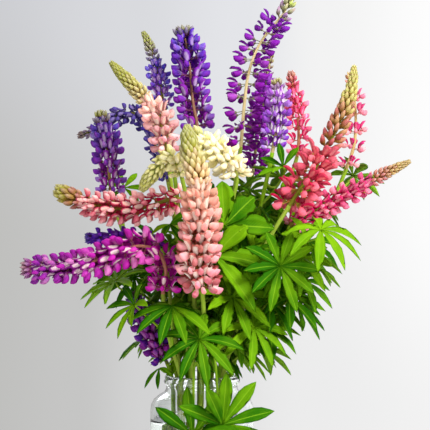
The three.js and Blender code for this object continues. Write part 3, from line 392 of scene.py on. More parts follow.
def linear(code):
    """The scene's linear colour for a colour written as six hexadecimal digits."""
    channels = [int(code[i:i + 2], 16) / 255 for i in (0, 2, 4)]
    return (*[c / 12.92 if c <= 0.04045 else ((c + 0.055) / 1.055) ** 2.4 for c in channels], 1.0)


def mix(a, b, share):
    """The value that lies a share of the way from a to b."""
    return a + (b - a) * share


def smooth_line(points, samples):
    """Points on the centripetal curve that the part draws through the given points."""
    points = [Vector(p) for p in points]
    ends = [2 * points[0] - points[1], *points, 2 * points[-1] - points[-2]]
    line = []
    for a, b, c, d in zip(ends, ends[1:], ends[2:], ends[3:]):
        ab, bc, cd = (math.sqrt((q - p).length) for p, q in ((a, b), (b, c), (c, d)))
        start = ((b - a) / ab - (c - a) / (ab + bc) + (c - b) / bc) * bc
        end = ((c - b) / bc - (d - b) / (bc + cd) + (d - c) / cd) * bc
        for i in range(samples):
            t = i / samples
            line.append(b + start * t + (3 * (c - b) - 2 * start - end) * t ** 2
                        + (2 * (b - c) + start + end) * t ** 3)
    return line + [points[-1]]


class Path:
    """A smooth line through points in millimetres, with a frame that doesn't spin as it goes."""

    def __init__(self, points):
        self.spots = smooth_line(points, PATH_SAMPLES)
        self.lengths = [0.0]
        for a, b in zip(self.spots, self.spots[1:]):
            self.lengths.append(self.lengths[-1] + (b - a).length)
        last = len(self.spots) - 1
        self.tangents = [(self.spots[min(i + 1, last)] - self.spots[max(i - 1, 0)]).normalized()
                         for i in range(last + 1)]
        normal = Vector(PATH_FRONT)
        self.normals = []
        for tangent in self.tangents:
            normal = (normal - tangent * normal.dot(tangent)).normalized()
            self.normals.append(normal)
        self.total = self.lengths[-1]

    def length_at_height(self, height):
        """The length along the line at which it first reaches a height."""
        i = next(i for i, spot in enumerate(self.spots) if spot.z >= height)
        low, high = self.spots[i - 1].z, self.spots[i].z
        return mix(self.lengths[i - 1], self.lengths[i], (height - low) / (high - low))

    def at(self, length):
        """The point, tangent, normal and side at a length along the line."""
        s = min(max(length, 0.0), self.total)
        i = max(next(k for k, value in enumerate(self.lengths) if value >= s - 1e-9), 1)
        share = (s - self.lengths[i - 1]) / (self.lengths[i] - self.lengths[i - 1])
        tangent = self.tangents[i - 1].lerp(self.tangents[i], share).normalized()
        normal = self.normals[i - 1].lerp(self.normals[i], share)
        normal = (normal - tangent * normal.dot(tangent)).normalized()
        spot = self.spots[i - 1].lerp(self.spots[i], share) + tangent * (length - s)
        return spot, tangent, normal, tangent.cross(normal)

    def stops(self, start, end, step):
        """Evenly spaced lengths from start to end."""
        count = max(2, round((end - start) / step))
        return [mix(start, end, i / count) for i in range(count + 1)]


def in_scene(name, data):
    """A new object of the scene that holds some data."""
    made = bpy.data.objects.new(name, data)
    bpy.context.scene.collection.objects.link(made)
    return made


class Shape:
    """Points in millimetres and faces, with the named values that a material reads at each point."""

    def __init__(self, *names):
        self.names = names
        self.points, self.faces, self.values = [], [], []

    def row(self, points, *values):
        """Add points that share their values, or have a tuple of them each."""
        first = len(self.points)
        self.points += [Vector(p) for p in points]
        self.values += values[0] if values and isinstance(values[0], list) else [values] * len(points)
        return list(range(first, len(self.points)))

    def skin(self, rows, closed=True):
        """Faces between each row and the next."""
        for low, high in zip(rows, rows[1:]):
            spans = zip(low, low[1:] + low[:1], high, high[1:] + high[:1])
            for a, b, c, d in list(spans)[:None if closed else -1]:
                self.faces.append((a, b, d, c))

    def fan(self, row, apex, closed=True):
        """Faces from a row to one point."""
        for a, b in list(zip(row, row[1:] + row[:1]))[:None if closed else -1]:
            self.faces.append((a, b, apex))

    def shell(self, rows, first, last, closed=True):
        """Faces between the rows, and from the outer rows to a first and a last point."""
        self.skin(rows, closed)
        self.fan(rows[-1], last, closed)
        self.fan(rows[0][::-1], first, closed)

    def tube(self, path, lengths, radii, sides, *values):
        """A closed tube along a path."""
        rows = []
        for length in lengths:
            spot, _, normal, side = path.at(length)
            radius = mix(*radii, (length - lengths[0]) / (lengths[-1] - lengths[0]))
            rows.append(self.row([spot + (normal * math.cos(a) + side * math.sin(a)) * radius
                                  for a in (TURN * j / sides for j in range(sides))], *values))
        self.shell(rows, *self.row([path.at(length)[0] for length in (lengths[0], lengths[-1])], *values))

    def build(self, name):
        """A smooth mesh object of the shape, in metres."""
        mesh = bpy.data.meshes.new(name)
        mesh.from_pydata([p * MM for p in self.points], [], self.faces)
        for i, value in enumerate(self.names):
            layer = mesh.attributes.new(value, "FLOAT", "POINT")
            layer.data.foreach_set("value", [v[i] for v in self.values])
        mesh.polygons.foreach_set("use_smooth", [True] * len(mesh.polygons))
        mesh.update()
        return in_scene(name, mesh)


class Wire:
    """A socket in a graph. Python's operators on it add Math nodes, or Vector Math nodes on a vector."""

    def __init__(self, graph, socket):
        self.graph, self.socket = graph, socket

    def also(self, name):
        """Another output of the same node."""
        return Wire(self.graph, self.socket.node.outputs[name])

    def math(self, operation, *others, clamp=False):
        """The result of a Math node."""
        settings = {"operation": operation, "use_clamp": clamp}
        return self.graph.add("ShaderNodeMath", settings, dict(enumerate([self, *others])))

    def vector_math(self, operation, *others, output=0):
        """The result of a Vector Math node."""
        return self.graph.add("ShaderNodeVectorMath", {"operation": operation},
                              dict(enumerate([self, *others])), output)

    def _either(self, operation, other):
        """The result of a Vector Math node on a vector, and of a Math node on a number."""
        if self.socket.type == "VECTOR":
            return self.vector_math(operation, other)
        return self.math(operation, other)

    def __add__(self, other):
        return self._either("ADD", other)

    __radd__ = __add__

    def __sub__(self, other):
        return self._either("SUBTRACT", other)

    def __rsub__(self, other):
        return self.math("MULTIPLY", -1.0) + other

    def __mul__(self, other):
        if self.socket.type == "VECTOR":
            return self.graph.add("ShaderNodeVectorMath", {"operation": "SCALE"}, {0: self, "Scale": other})
        return self.math("MULTIPLY", other)

    __rmul__ = __mul__

    def __truediv__(self, other):
        return self.math("DIVIDE", other)

    def __pow__(self, other):
        return self.math("POWER", other)

    def __gt__(self, other):
        return self.math("GREATER_THAN", other)

    def __lt__(self, other):
        return self.math("LESS_THAN", other)

    def clamped(self):
        """The number kept between 0 and 1."""
        return self.math("ADD", 0.0, clamp=True)

    def smooth(self, low, high):
        """0 below low, 1 above high and a smooth step between them."""
        return self.graph.add("ShaderNodeMapRange", {"interpolation_type": "SMOOTHSTEP"},
                              {0: self, 1: low, 2: high})


class Graph:
    """A node tree that is being put together."""

    def __init__(self, tree):
        self.tree = tree
        tree.nodes.clear()

    def add(self, kind, settings=None, inputs=None, output=0):
        """Add a node: first its settings, then the value or link of each socket, by name or number."""
        node = self.tree.nodes.new(kind)
        for name, value in (settings or {}).items():
            setattr(node, name, value)
        for key, value in (inputs or {}).items():
            for each in value if isinstance(value, list) else [value]:
                if isinstance(each, Wire):
                    self.tree.links.new(each.socket, node.inputs[key])
                else:
                    node.inputs[key].default_value = each
        return Wire(self, node.outputs[output]) if node.outputs else None

    def mix(self, a, b, share):
        """A colour that is a where share is 0 and b where it is 1."""
        return self.add("ShaderNodeMix", {"data_type": "RGBA"}, {0: share, 6: a, 7: b}, 2)

    def layered(self, colour, *layers):
        """A colour with others laid over it in turn, each given with its share."""
        for other, share in layers:
            colour = self.mix(colour, other, share)
        return colour

    def value(self, name):
        """A named value of the mesh."""
        return self.add("ShaderNodeAttribute", {"attribute_name": name}, output="Fac")

    def noise(self, scale):
        """Soft noise in the space of the object."""
        place = self.add("ShaderNodeTexCoord", output="Object")
        return self.add("ShaderNodeTexNoise", {}, {"Vector": place, "Scale": scale, "Detail": 2.0})

    def random(self, low, high, seed):
        """A number for each point between low and high."""
        return self.add("FunctionNodeRandomValue", {"data_type": "FLOAT"}, {2: low, 3: high, 8: seed}, 1)

    def stored(self, geometry, values):
        """A geometry whose points hold named values."""
        for name, value in values.items():
            geometry = self.add("GeometryNodeStoreNamedAttribute", {"data_type": "FLOAT", "domain": "POINT"},
                                {"Geometry": geometry, "Name": name, "Value": value})
        return geometry


def material(name):
    """A new material and the graph of its nodes."""
    made = bpy.data.materials.new(name)
    made.use_nodes = True
    return made, Graph(made.node_tree)


def thin_leaf(graph, colour, through, roughness, bump, light_share, specular):
    """A thin sheet of plant: its own colour in front, and some of the light from behind."""
    principled = graph.add("ShaderNodeBsdfPrincipled", {}, {
        "Base Color": colour, "Roughness": roughness, "Normal": bump, "Specular IOR Level": specular})
    behind = graph.add("ShaderNodeBsdfTranslucent", {}, {"Color": through, "Normal": bump})
    both = graph.add("ShaderNodeMixShader", {}, {0: light_share, 1: principled, 2: behind})
    graph.add("ShaderNodeOutputMaterial", {}, {"Surface": both})


def petal_material(lupin):
    """Petals, buds, calyxes and rachis of one head.

    part is -1 on the rachis, 0 on other green parts, 1 on wings and buds and 2 on banners. age runs from 0
    at the lowest floret to 1 at the highest, and from 1 to 2 on the buds.
    """
    made, graph = material(lupin["name"] + "_petals")
    codes = {"heart": lupin["look"]["patch"], "edge": lupin["look"]["banner"], **lupin["look"]}
    look = {part: linear(code) for part, code in codes.items()}
    part, shade, age, tone = (graph.value(name) for name in ("part", "shade", "age", "tone"))
    ripe = age.clamped() ** 1.6
    strength = lupin["pale"]
    banner = graph.mix(look["banner"], look["young"], ripe)
    wing = graph.layered(
        look["wing"],
        (look["young"], ripe),
        (look["heart"], (0.25 + 0.3 * strength - shade).clamped() * 1.6),
        (look["edge"], shade.smooth(0.7, 1.1) * 0.6),
        (look["patch"], (tone - 0.6).clamped() * 0.6),
        (banner, (0.55 - tone).clamped() * 1.5))
    pale = shade.smooth(0.75 - 0.4 * strength, 0.95 - 0.2 * strength) * (1 - ripe * 0.45)
    banner = graph.mix(banner, look["patch"], pale * min(1, 1.4 * strength))
    speckle = graph.noise(260.0)
    height = (age - 1).clamped() + (tone - 0.5) * 0.3 + (speckle - 0.5) * 0.2
    bud = graph.layered(look["bud"], (look["tip"], height.smooth(0.0, 0.6)),
                        (look["patch"], shade.smooth(0.6, 1.0) * 0.3))
    petal = graph.layered(wing, (banner, part > 1.5), (bud, age > 1.0))
    green = graph.layered(look["green"], (look["tip"], height.smooth(0.0, 1.0) * 0.4), (look["banner"], 0.3))
    rachis = graph.mix(look["rachis"], look["tip"], age.smooth(0.6, 1.0) * 0.7)
    colour = graph.layered(green, (petal, part.clamped()), (rachis, part < -0.5))
    lighter = graph.add("ShaderNodeHueSaturation", {}, {
        "Color": colour, "Saturation": 1.0, "Value": 0.96 + tone * 0.24 + (speckle - 0.5) * 0.24})
    bump = graph.add("ShaderNodeBump", {}, {
        "Height": graph.noise(1400.0), "Strength": 0.12, "Distance": 0.4 * MM})
    thin_leaf(graph, lighter, lighter, 0.55, bump, 0.5, specular=0.15)
    return made


def foliage_material(colours):
    """Leaflets with a pale rib, side veins and paler backs, and the stems and stalks.

    part is 0 on top of a leaflet, 1 under it and 2 on stems and stalks.
    """
    made, graph = material("lupin_green")
    part, across, along, tone = (graph.value(name) for name in ("part", "across", "along", "tone"))
    leaf, lighter_green_and_painted_light, underside, rib_green, stem_green = (
        (*getattr(colours, name), 1) for name in ("leaf", "lighter_green_and_painted_light", "underside", "rib", "stem"))
    rib = 1 - across.smooth(0.02, 0.1)
    veins = (along * 95.0 - across * 26.0).math("SINE").smooth(0.55, 1.0)
    # How far a leaflet goes from the darker to the lighter green: random tone and noise, with each leaf's
    # given lightness, which is partly painted light and painted shade.
    light = (tone * 0.8 - 0.1 + (graph.noise(38.0) - 0.5) * 0.9).clamped()
    top = graph.layered(leaf, (lighter_green_and_painted_light, light), (rib_green, veins * (1 - across) * 0.22),
                        (rib_green, rib * 0.8))
    under = graph.mix(underside, rib_green, rib * 0.6)
    stem = graph.mix(stem_green, rib_green, (tone + (graph.noise(90.0) - 0.5)).clamped())
    colour = graph.layered(top, (under, part), (stem, part > 1.5))
    relief = veins * -0.3 + rib * -0.8 + graph.noise(500.0) * 0.3
    bump = graph.add("ShaderNodeBump", {}, {"Height": relief, "Strength": 0.35, "Distance": 0.5 * MM})
    through = graph.mix(colour, lighter_green_and_painted_light, 0.5)
    thin_leaf(graph, colour, through, 0.5, bump, 0.2, specular=0.02)
    return made


def even_material(name, tint, roughness, **more):
    """A material that is the same all over."""
    made, graph = material(name)
    surface = graph.add("ShaderNodeBsdfPrincipled", {}, {
        "Base Color": (*tint, 1), "Roughness": roughness, **more})
    graph.add("ShaderNodeOutputMaterial", {}, {"Surface": surface})
    return made


def clear_material(name, tint, bend):
    """A clear solid that bends light."""
    return even_material(name, tint, 0.0, **{"Transmission Weight": 1.0, "IOR": bend})


def dress(piece, surface, slot, *nodes):
    """Give a finished piece its material and the nodes that it stands for. slot is not used."""
    piece.data.materials.clear()
    piece.data.materials.append(surface)
    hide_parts(*nodes)
    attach(piece, "root")


def circle(radius, height, sides):
    """Points round the axis of the jar."""
    return [(radius * math.cos(TURN * j / sides), radius * math.sin(TURN * j / sides), height)
            for j in range(sides)]


def turned(name, profile, facets):
    """A closed solid of revolution whose profile starts and ends on the axis."""
    shape = Shape()
    rows = [shape.row(circle(radius, height, facets)) for radius, height in profile[1:-1]]
    shape.shell(rows, *shape.row([(0, 0, profile[0][1]), (0, 0, profile[-1][1])]))
    return shape.build(name)


def leaflet_frame(leaf, j, lift):
    """The directions of a leaflet: the side that it turns up, outwards along its rib and across it."""
    face = Vector(leaf["face"]).normalized()
    across = Vector((0, 0, 1)).cross(face).normalized()
    along = face.cross(across)
    angle = (j + leaf["turn"]) * TURN / leaf["count"]
    flat = across * math.cos(angle) + along * math.sin(angle)
    left = face.cross(flat)
    outwards = flat * math.cos(lift) + face * math.sin(lift)
    return outwards.cross(left), outwards, left


def leaflet_reach(leaf, j, length):
    """How long a leaflet is: no two of a leaf are quite the same."""
    uneven = 1 - LEAFLET_UNEVEN * (0.5 + 0.5 * math.sin(j * j * 1.7 + leaf["length"]))
    return leaf["length"] * uneven * length


def rib_point(leaf, j, length, lift, share):
    """A point on the rib of a leaflet, as in the part."""
    face, outwards, _ = leaflet_frame(leaf, j, lift)
    reach = leaflet_reach(leaf, j, length)
    return (Vector(leaf["hub"]) + outwards * reach * share + face * reach * share * LEAFLET_RISE
            - Vector((0, 0, 1)) * reach * leaf["droop"] * 0.5 * share * share)


def solid_corners(node):
    """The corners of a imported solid, to look up by place."""
    corners = frame["nodes"][node].data.vertices
    tree = KDTree(len(corners))
    for i, corner in enumerate(corners):
        tree.insert(corner.co / MM, i)
    tree.balance()
    return tree


def leaflet_bend(leaf, j, corners):
    """The length and lift that the part gave a leaflet, told by the solid's corner at its tip."""
    for length in LEAFLET_LENGTHS:
        for lift in LEAFLET_BENDS:
            if corners.find(rib_point(leaf, j, length, lift, 1))[2] < TIP_TOLERANCE:
                return length, lift
    return None


def half_width(share):
    """The outline of a leaflet: a narrow foot, widest past the middle, and a pointed tip."""
    if share < LEAFLET_WIDEST:
        return mix(LEAFLET_FOOT, 1, math.sin(0.5 * math.pi * share / LEAFLET_WIDEST) ** 1.25)
    return 1 - ((share - LEAFLET_WIDEST) / (1 - LEAFLET_WIDEST)) ** 1.9


def add_leaflet(shape, leaf, j, bend, sizes):
    """A folded blade with a top and an underside that meet at its edge."""
    length, lift = bend
    face, _, left = leaflet_frame(leaf, j, lift)
    breadth = leaf["broad"] * mix(LEAFLET_NARROWING, 1, length)
    width = leaf["length"] * LEAFLET_HALF_WIDTH * breadth * LEAFLET_WIDENING
    luck = math.sin(j * 12.9 + leaf["hub"][0] * 3.1 + leaf["hub"][2])
    tone = 0.5 + 0.5 * math.sin(j * 5.3 + leaf["hub"][0] + leaf["hub"][2] * 0.7)
    # A leaf's given lightness pulls its leaflets towards the darker green below one half and the lighter
    # green above it: partly their own green, partly painted light and painted shade.
    if leaf["own_lightness_and_painted_light"] is not None:
        tone = mix(tone, round(leaf["own_lightness_and_painted_light"]), abs(2 * leaf["own_lightness_and_painted_light"] - 1))
    thickness = sizes.blade_thickness / MM
    tops, unders = [], []
    for share in LEAFLET_ROWS:
        spot = rib_point(leaf, j, length, lift, share)
        half = width * half_width(share)
        roll = LEAFLET_ROLL * luck * share
        across = left * math.cos(roll) + face * math.sin(roll)
        upwards = face * math.cos(roll) - left * math.sin(roll)
        wave = LEAFLET_WAVE * width * math.sin(share * 17 + 4 * luck)
        row = []
        for column in COLUMNS:
            rise = half * sizes.leaf_fold * (math.sqrt(column * column + FOLD_ROUNDING) - FOLD_SINK)
            ripple = wave * column * column * (1 if column > 0 else -1)
            row.append(spot + across * half * column + upwards * (rise + ripple))
        values = [(0, abs(c), share, tone) for c in COLUMNS]
        top = shape.row(row, values)
        back = [p - upwards * thickness * (1 - c * c) for p, c in zip(row[1:-1], COLUMNS[1:-1])]
        under = shape.row(back, [(1, abs(c), share, tone) for c in COLUMNS[1:-1]])
        tops.append(top[::-1])
        unders.append([top[0], *under, top[-1]])
    ends = shape.row([rib_point(leaf, j, length, lift, share) for share in (0, 1)],
                     [(0, 0, share, tone) for share in (0, 1)])
    shape.shell(tops, *ends, closed=False)
    shape.shell(unders, *ends, closed=False)


def stalk_path(path, leaf):
    """The line of a leaf's stalk, from the middle of the stem to the back of the hub."""
    root = path.at(path.length_at_height(leaf["height"]))[0]
    face = Vector(leaf["face"]).normalized()
    neck = Vector(leaf["hub"]) - face * STALK_NECK
    arch = (root - neck).length * STALK_ARCH
    middle = Vector(leaf["via"]) if leaf["via"] else root.lerp(neck, 0.5) - face * arch
    return Path([root, middle, neck, Vector(leaf["hub"]) - face * HUB_THICKNESS * 0.4])


def clear_of_heads(hub, heads):
    """Whether a hub keeps its space to all flower heads."""
    for spot, reach in heads:
        space = SHADE_SPACE_BEHIND if hub.y > spot.y + SHADE_BEHIND else SHADE_SPACE_BESIDE
        if (hub - spot).length <= reach + space:
            return False
    return True


def shade_leaves(number, path, end, hubs, heads):
    """Small leaves deep in the bouquet, clear of the flower heads, that thicken its shade."""
    luck = random.Random(number)
    hindmost = CAD_BOX[1][1] / MM - SHADE_LENGTHS[1]
    leaves = []
    for height in SHADE_HEIGHTS:
        if path.at(end)[0].z < height + SHADE_BELOW_HEAD:
            break
        root = path.at(path.length_at_height(height))[0]
        angle = luck.uniform(0, TURN)
        away = Vector((math.cos(angle), math.sin(angle), 0))
        distances = SHADE_DISTANCES if root.x < SHADE_RIGHT else SHADE_DISTANCES_RIGHT
        hub = root + away * luck.uniform(*distances) + Vector((0, 0, luck.uniform(*SHADE_RISE)))
        top = SHADE_TOP_LEFT if hub.x < SHADE_LEFT else SHADE_TOP
        inside = SHADE_FOREMOST < hub.y < hindmost and hub.z < top
        spaced = all((hub - other).length > SHADE_SPACE for other in hubs)
        if inside and spaced and clear_of_heads(hub, heads):
            hubs.append(hub)
            face = away * luck.uniform(0.5, 1.1) + Vector((0, -0.25, luck.uniform(0.5, 0.9)))
            # Each shade leaf gets a random lightness of its green that leans a little to the darker green:
            # partly painted shade deep in the bouquet.
            leaves.append(palmate_leaf(
                height, tuple(hub), tuple(face), luck.uniform(*SHADE_LENGTHS), luck.choice(SHADE_COUNTS),
                luck.uniform(0.3, 0.6), turn=luck.random(), own_lightness_and_painted_light=luck.uniform(0.1, 0.8)))
    return leaves


def leafy_stem(lupin, number, hubs, heads, sizes):
    """The stem of one lupin with its leaves: the part's own ones, finer, and then its shade leaves."""
    shape = Shape("part", "across", "along", "tone")
    path = Path(lupin["stem"] + lupin["head"])
    end = path.lengths[len(lupin["stem"]) * PATH_SAMPLES]
    tone = 0.5 + 0.5 * math.sin(lupin["reach"] * 7.7 + end)
    step, sides = STEM_SECTION
    shape.tube(path, path.stops(0, end, step), STEM_RADIUS, sides, 2, 1, 0, tone)
    corners = solid_corners(lupin["name"] + "_leafy_stem")
    leaves = [(leaf, STALK_SECTION, [leaflet_bend(leaf, j, corners) for j in range(leaf["count"])])
              for leaf in lupin["leaves"]]
    leaves += [(leaf, SHADE_STALK_SECTION, [(1, 0)] * leaf["count"])
               for leaf in shade_leaves(number, path, end, hubs, heads)]
    for leaf, (step, sides, stalk_tone), bends in leaves:
        stalk = stalk_path(path, leaf)
        shape.tube(stalk, stalk.stops(0, stalk.total, step), STALK_RADIUS, sides, 2, 1, 0, stalk_tone)
        for j, bend in enumerate(bends):
            if bend:
                add_leaflet(shape, leaf, j, bend, sizes)
    return shape.build(lupin["name"] + "_foliage")


def ring(x, z, width, height, sides, top=0.0):
    """Points round a section of a petal. top makes it narrower above than below."""
    points = []
    for j in range(sides):
        angle = TURN * j / sides
        up = math.cos(angle)
        points.append((x, -width * math.sin(angle) * (1 - top * up), z + height * up))
    return points


# The pedicel and the calyx: how far out, how high and how thick each section is
PEDICEL = ((0, 0, 0.5), (4.5, 0.2, 0.45), (6.2, 0.6, 1.5), (9.3, 1.1, 2.2))
PEDICEL_SIDES = 4
# The wings: shares of their length, with the heights of their lower and upper edge and half their width
POD_SIDES = 6
POD_START = 7.2  # their length starts here and ends where the floret does
POD_SHADE = 0.24  # how much the shade differs between the edges
POD_NARROWING = 0.25  # how much narrower the upper edge is
POD = ((0, 0.2, 2.6, 1.5), (0.28, -2.9, 4.1, 3.4), (0.56, -3.8, 4.2, 3.7), (0.8, -2.9, 4.2, 3.1),
       (0.95, -0.4, 4.0, 1.7))


def floret(shut, stalk):
    """One open floret, in millimetres: pedicel, calyx, inflated wings and folded-back banner.

    It grows along +X from the rachis, with +Z towards the tip of the head. shut lays the banner closer
    to the wings, and stalk makes the pedicel longer and the flower on it smaller.
    """
    shape = Shape("part", "shade")
    shape.skin([shape.row(ring(x, z, r, r, PEDICEL_SIDES), 0, 0) for x, z, r in PEDICEL])
    rows = []
    for share, low, high, wide in POD:
        half = (high - low) / 2
        around = [(1, share - POD_SHADE * math.cos(TURN * j / POD_SIDES)) for j in range(POD_SIDES)]
        rows.append(shape.row(ring(mix(POD_START, FLORET_LENGTH, share), low + half, wide, half, POD_SIDES,
                                   POD_NARROWING), around))
    shape.shell(rows, *shape.row([(7, 0, 1.4), (FLORET_LENGTH, 0, 3.2)], [(1, 0), (1, 1)]))
    add_banner(shape, shut)
    smaller = 1 - stalk / FLORET_LENGTH
    for point in shape.points[PEDICEL_SIDES:]:
        point.xyz = FLORET_LENGTH - (FLORET_LENGTH - point.x) * smaller, point.y * smaller, point.z * smaller
    return shape.build("floret_pattern")


# The banner: how far out, how high and how steep each place of its spine is
BANNER_LINE = ((8.4, 2.6, 62), (9.9, 6.0, 60), (11.9, 9.6, 57), (14.3, 13.0, 52), (16.8, 15.8, 46))
BANNER_HALF_WIDTHS = (2.4, 5.4, 6.6, 5.6, 1.8)
BANNER_PATCH = (0.6, 1, 1, 0.85, 0.1)  # how much of its pale middle shows there
BANNER_FOLD = math.radians(70)  # how far its sides fold back
BANNER_STRETCH = 1.15  # how much wider it is than its fold makes it
BANNER_DEPTH = 0.95
BANNER_THICKNESS = 0.5
BANNER_NARROWING = 150  # degrees of shutting that would narrow it to nothing


def add_banner(shape, shut):
    """The banner: a round petal with a pale middle, its sides folded back behind it."""
    foot = Vector((BANNER_LINE[0][0], 0, BANNER_LINE[0][1]))
    laid = Matrix.Rotation(math.radians(shut), 3, "Y")
    front, back = [], []
    for (x, z, lean), half, patch in zip(BANNER_LINE, BANNER_HALF_WIDTHS, BANNER_PATCH):
        half *= 1 - abs(shut) / BANNER_NARROWING
        lean = math.radians(lean - shut)
        behind = Vector((-math.sin(lean), 0, math.cos(lean)))
        spine = foot + laid @ (Vector((x, 0, z)) - foot)
        row, pale = [], []
        for step in COLUMNS:
            fold = BANNER_FOLD * abs(step)
            sideways = half * math.sin(fold) / fold * step if step else 0
            row.append(spine + Vector((0, sideways * BANNER_STRETCH, 0))
                       + behind * half * (1 - math.cos(fold)) * BANNER_DEPTH)
            pale.append((2, patch * (1 - 0.85 * abs(step))))
        front.append(shape.row(row, pale))
        ends = x in (BANNER_LINE[0][0], BANNER_LINE[-1][0])
        inner = [] if ends else shape.row([p + behind * BANNER_THICKNESS for p in row[1:-1]], 2, 0.0)
        back.append([front[-1][0], *inner, front[-1][-1]] if inner else front[-1])
    shape.skin(front, closed=False)
    shape.skin([row[::-1] for row in back], closed=False)


# The sections of a bud: how far out, how high and how thick, and 1 where it is petal instead of calyx
BUD_SECTIONS = ((0, 0, 0.5, 0), (3, -0.1, 0.7, 0), (5.2, -0.1, 1.9, 0.1), (7.8, 0.1, 2.2, 0.9),
                (10.4, 0.8, 1.3, 1))
BUD_SIDES = 6


def bud():
    """One closed bud, in millimetres: a calyx that opens on a pointed petal, along +X from the rachis."""
    shape = Shape("part", "shade")
    rows = [shape.row(ring(x, z, r * 0.92, r, BUD_SIDES), part, x / BUD_LENGTH)
            for x, z, r, part in BUD_SECTIONS]
    shape.shell(rows, *shape.row([(-0.2, 0, 0), (BUD_LENGTH, 0, 1.6)], [(0, 0), (1, 1)]))
    return shape.build("bud_pattern")


HEAD_INPUTS = {
    "Rachis": "Geometry", "Floret": "Object", "Bud": "Object", "Petals": "Material",
    "Open Length": "Float", "Length": "Float", "Whorls": "Int", "Florets in Whorl": "Int",
    "Pitch Ratio": "Float", "Bud Rings": "Int", "Buds in Ring": "Int", "Bud Base": "Float",
    "Reach": "Float", "Plumpness": "Float", "Depth": "Float", "Bluntness": "Float",
    "Lower Tilt": "Float", "Upper Tilt": "Float", "Droop": "Float", "Bare Share": "Float",
    "Seed": "Int",
}


def turned_round(graph, rachis, length, angle):
    """The point of the rachis at a length, its tangent, and the direction outwards at an angle."""
    spot = graph.add("GeometryNodeSampleCurve", {"mode": "LENGTH"},
                     {"Curves": rachis, "Length": length}, "Position")
    tangent, normal = spot.also("Tangent"), spot.also("Normal")
    side = tangent.vector_math("CROSS_PRODUCT", normal)
    return spot, tangent, normal * angle.math("COSINE") + side * angle.math("SINE")


def placed(graph, pattern, place, tangent, out, tilt, sink, size, chosen, values, count):
    """Copies of a pattern on count points, each tilted from outwards towards the tip, and lowered."""
    points = graph.stored(graph.add("GeometryNodePoints", {}, {"Count": count, "Position": place}), values)
    cosine, sine = tilt.math("COSINE"), tilt.math("SINE")
    down = graph.add("ShaderNodeCombineXYZ", {}, {"Z": sink * -1})
    axis = (out * cosine + tangent * sine + down).vector_math("NORMALIZE")
    rotation = graph.add("FunctionNodeAxesToRotation", {"primary_axis": "X", "secondary_axis": "Z"}, {
        "Primary Axis": axis, "Secondary Axis": tangent * cosine - out * sine})
    shape = graph.add("GeometryNodeObjectInfo", {}, {"Object": pattern}, "Geometry")
    return graph.add("GeometryNodeInstanceOnPoints", {}, {
        "Points": points, "Selection": chosen, "Instance": shape, "Rotation": rotation, "Scale": size})


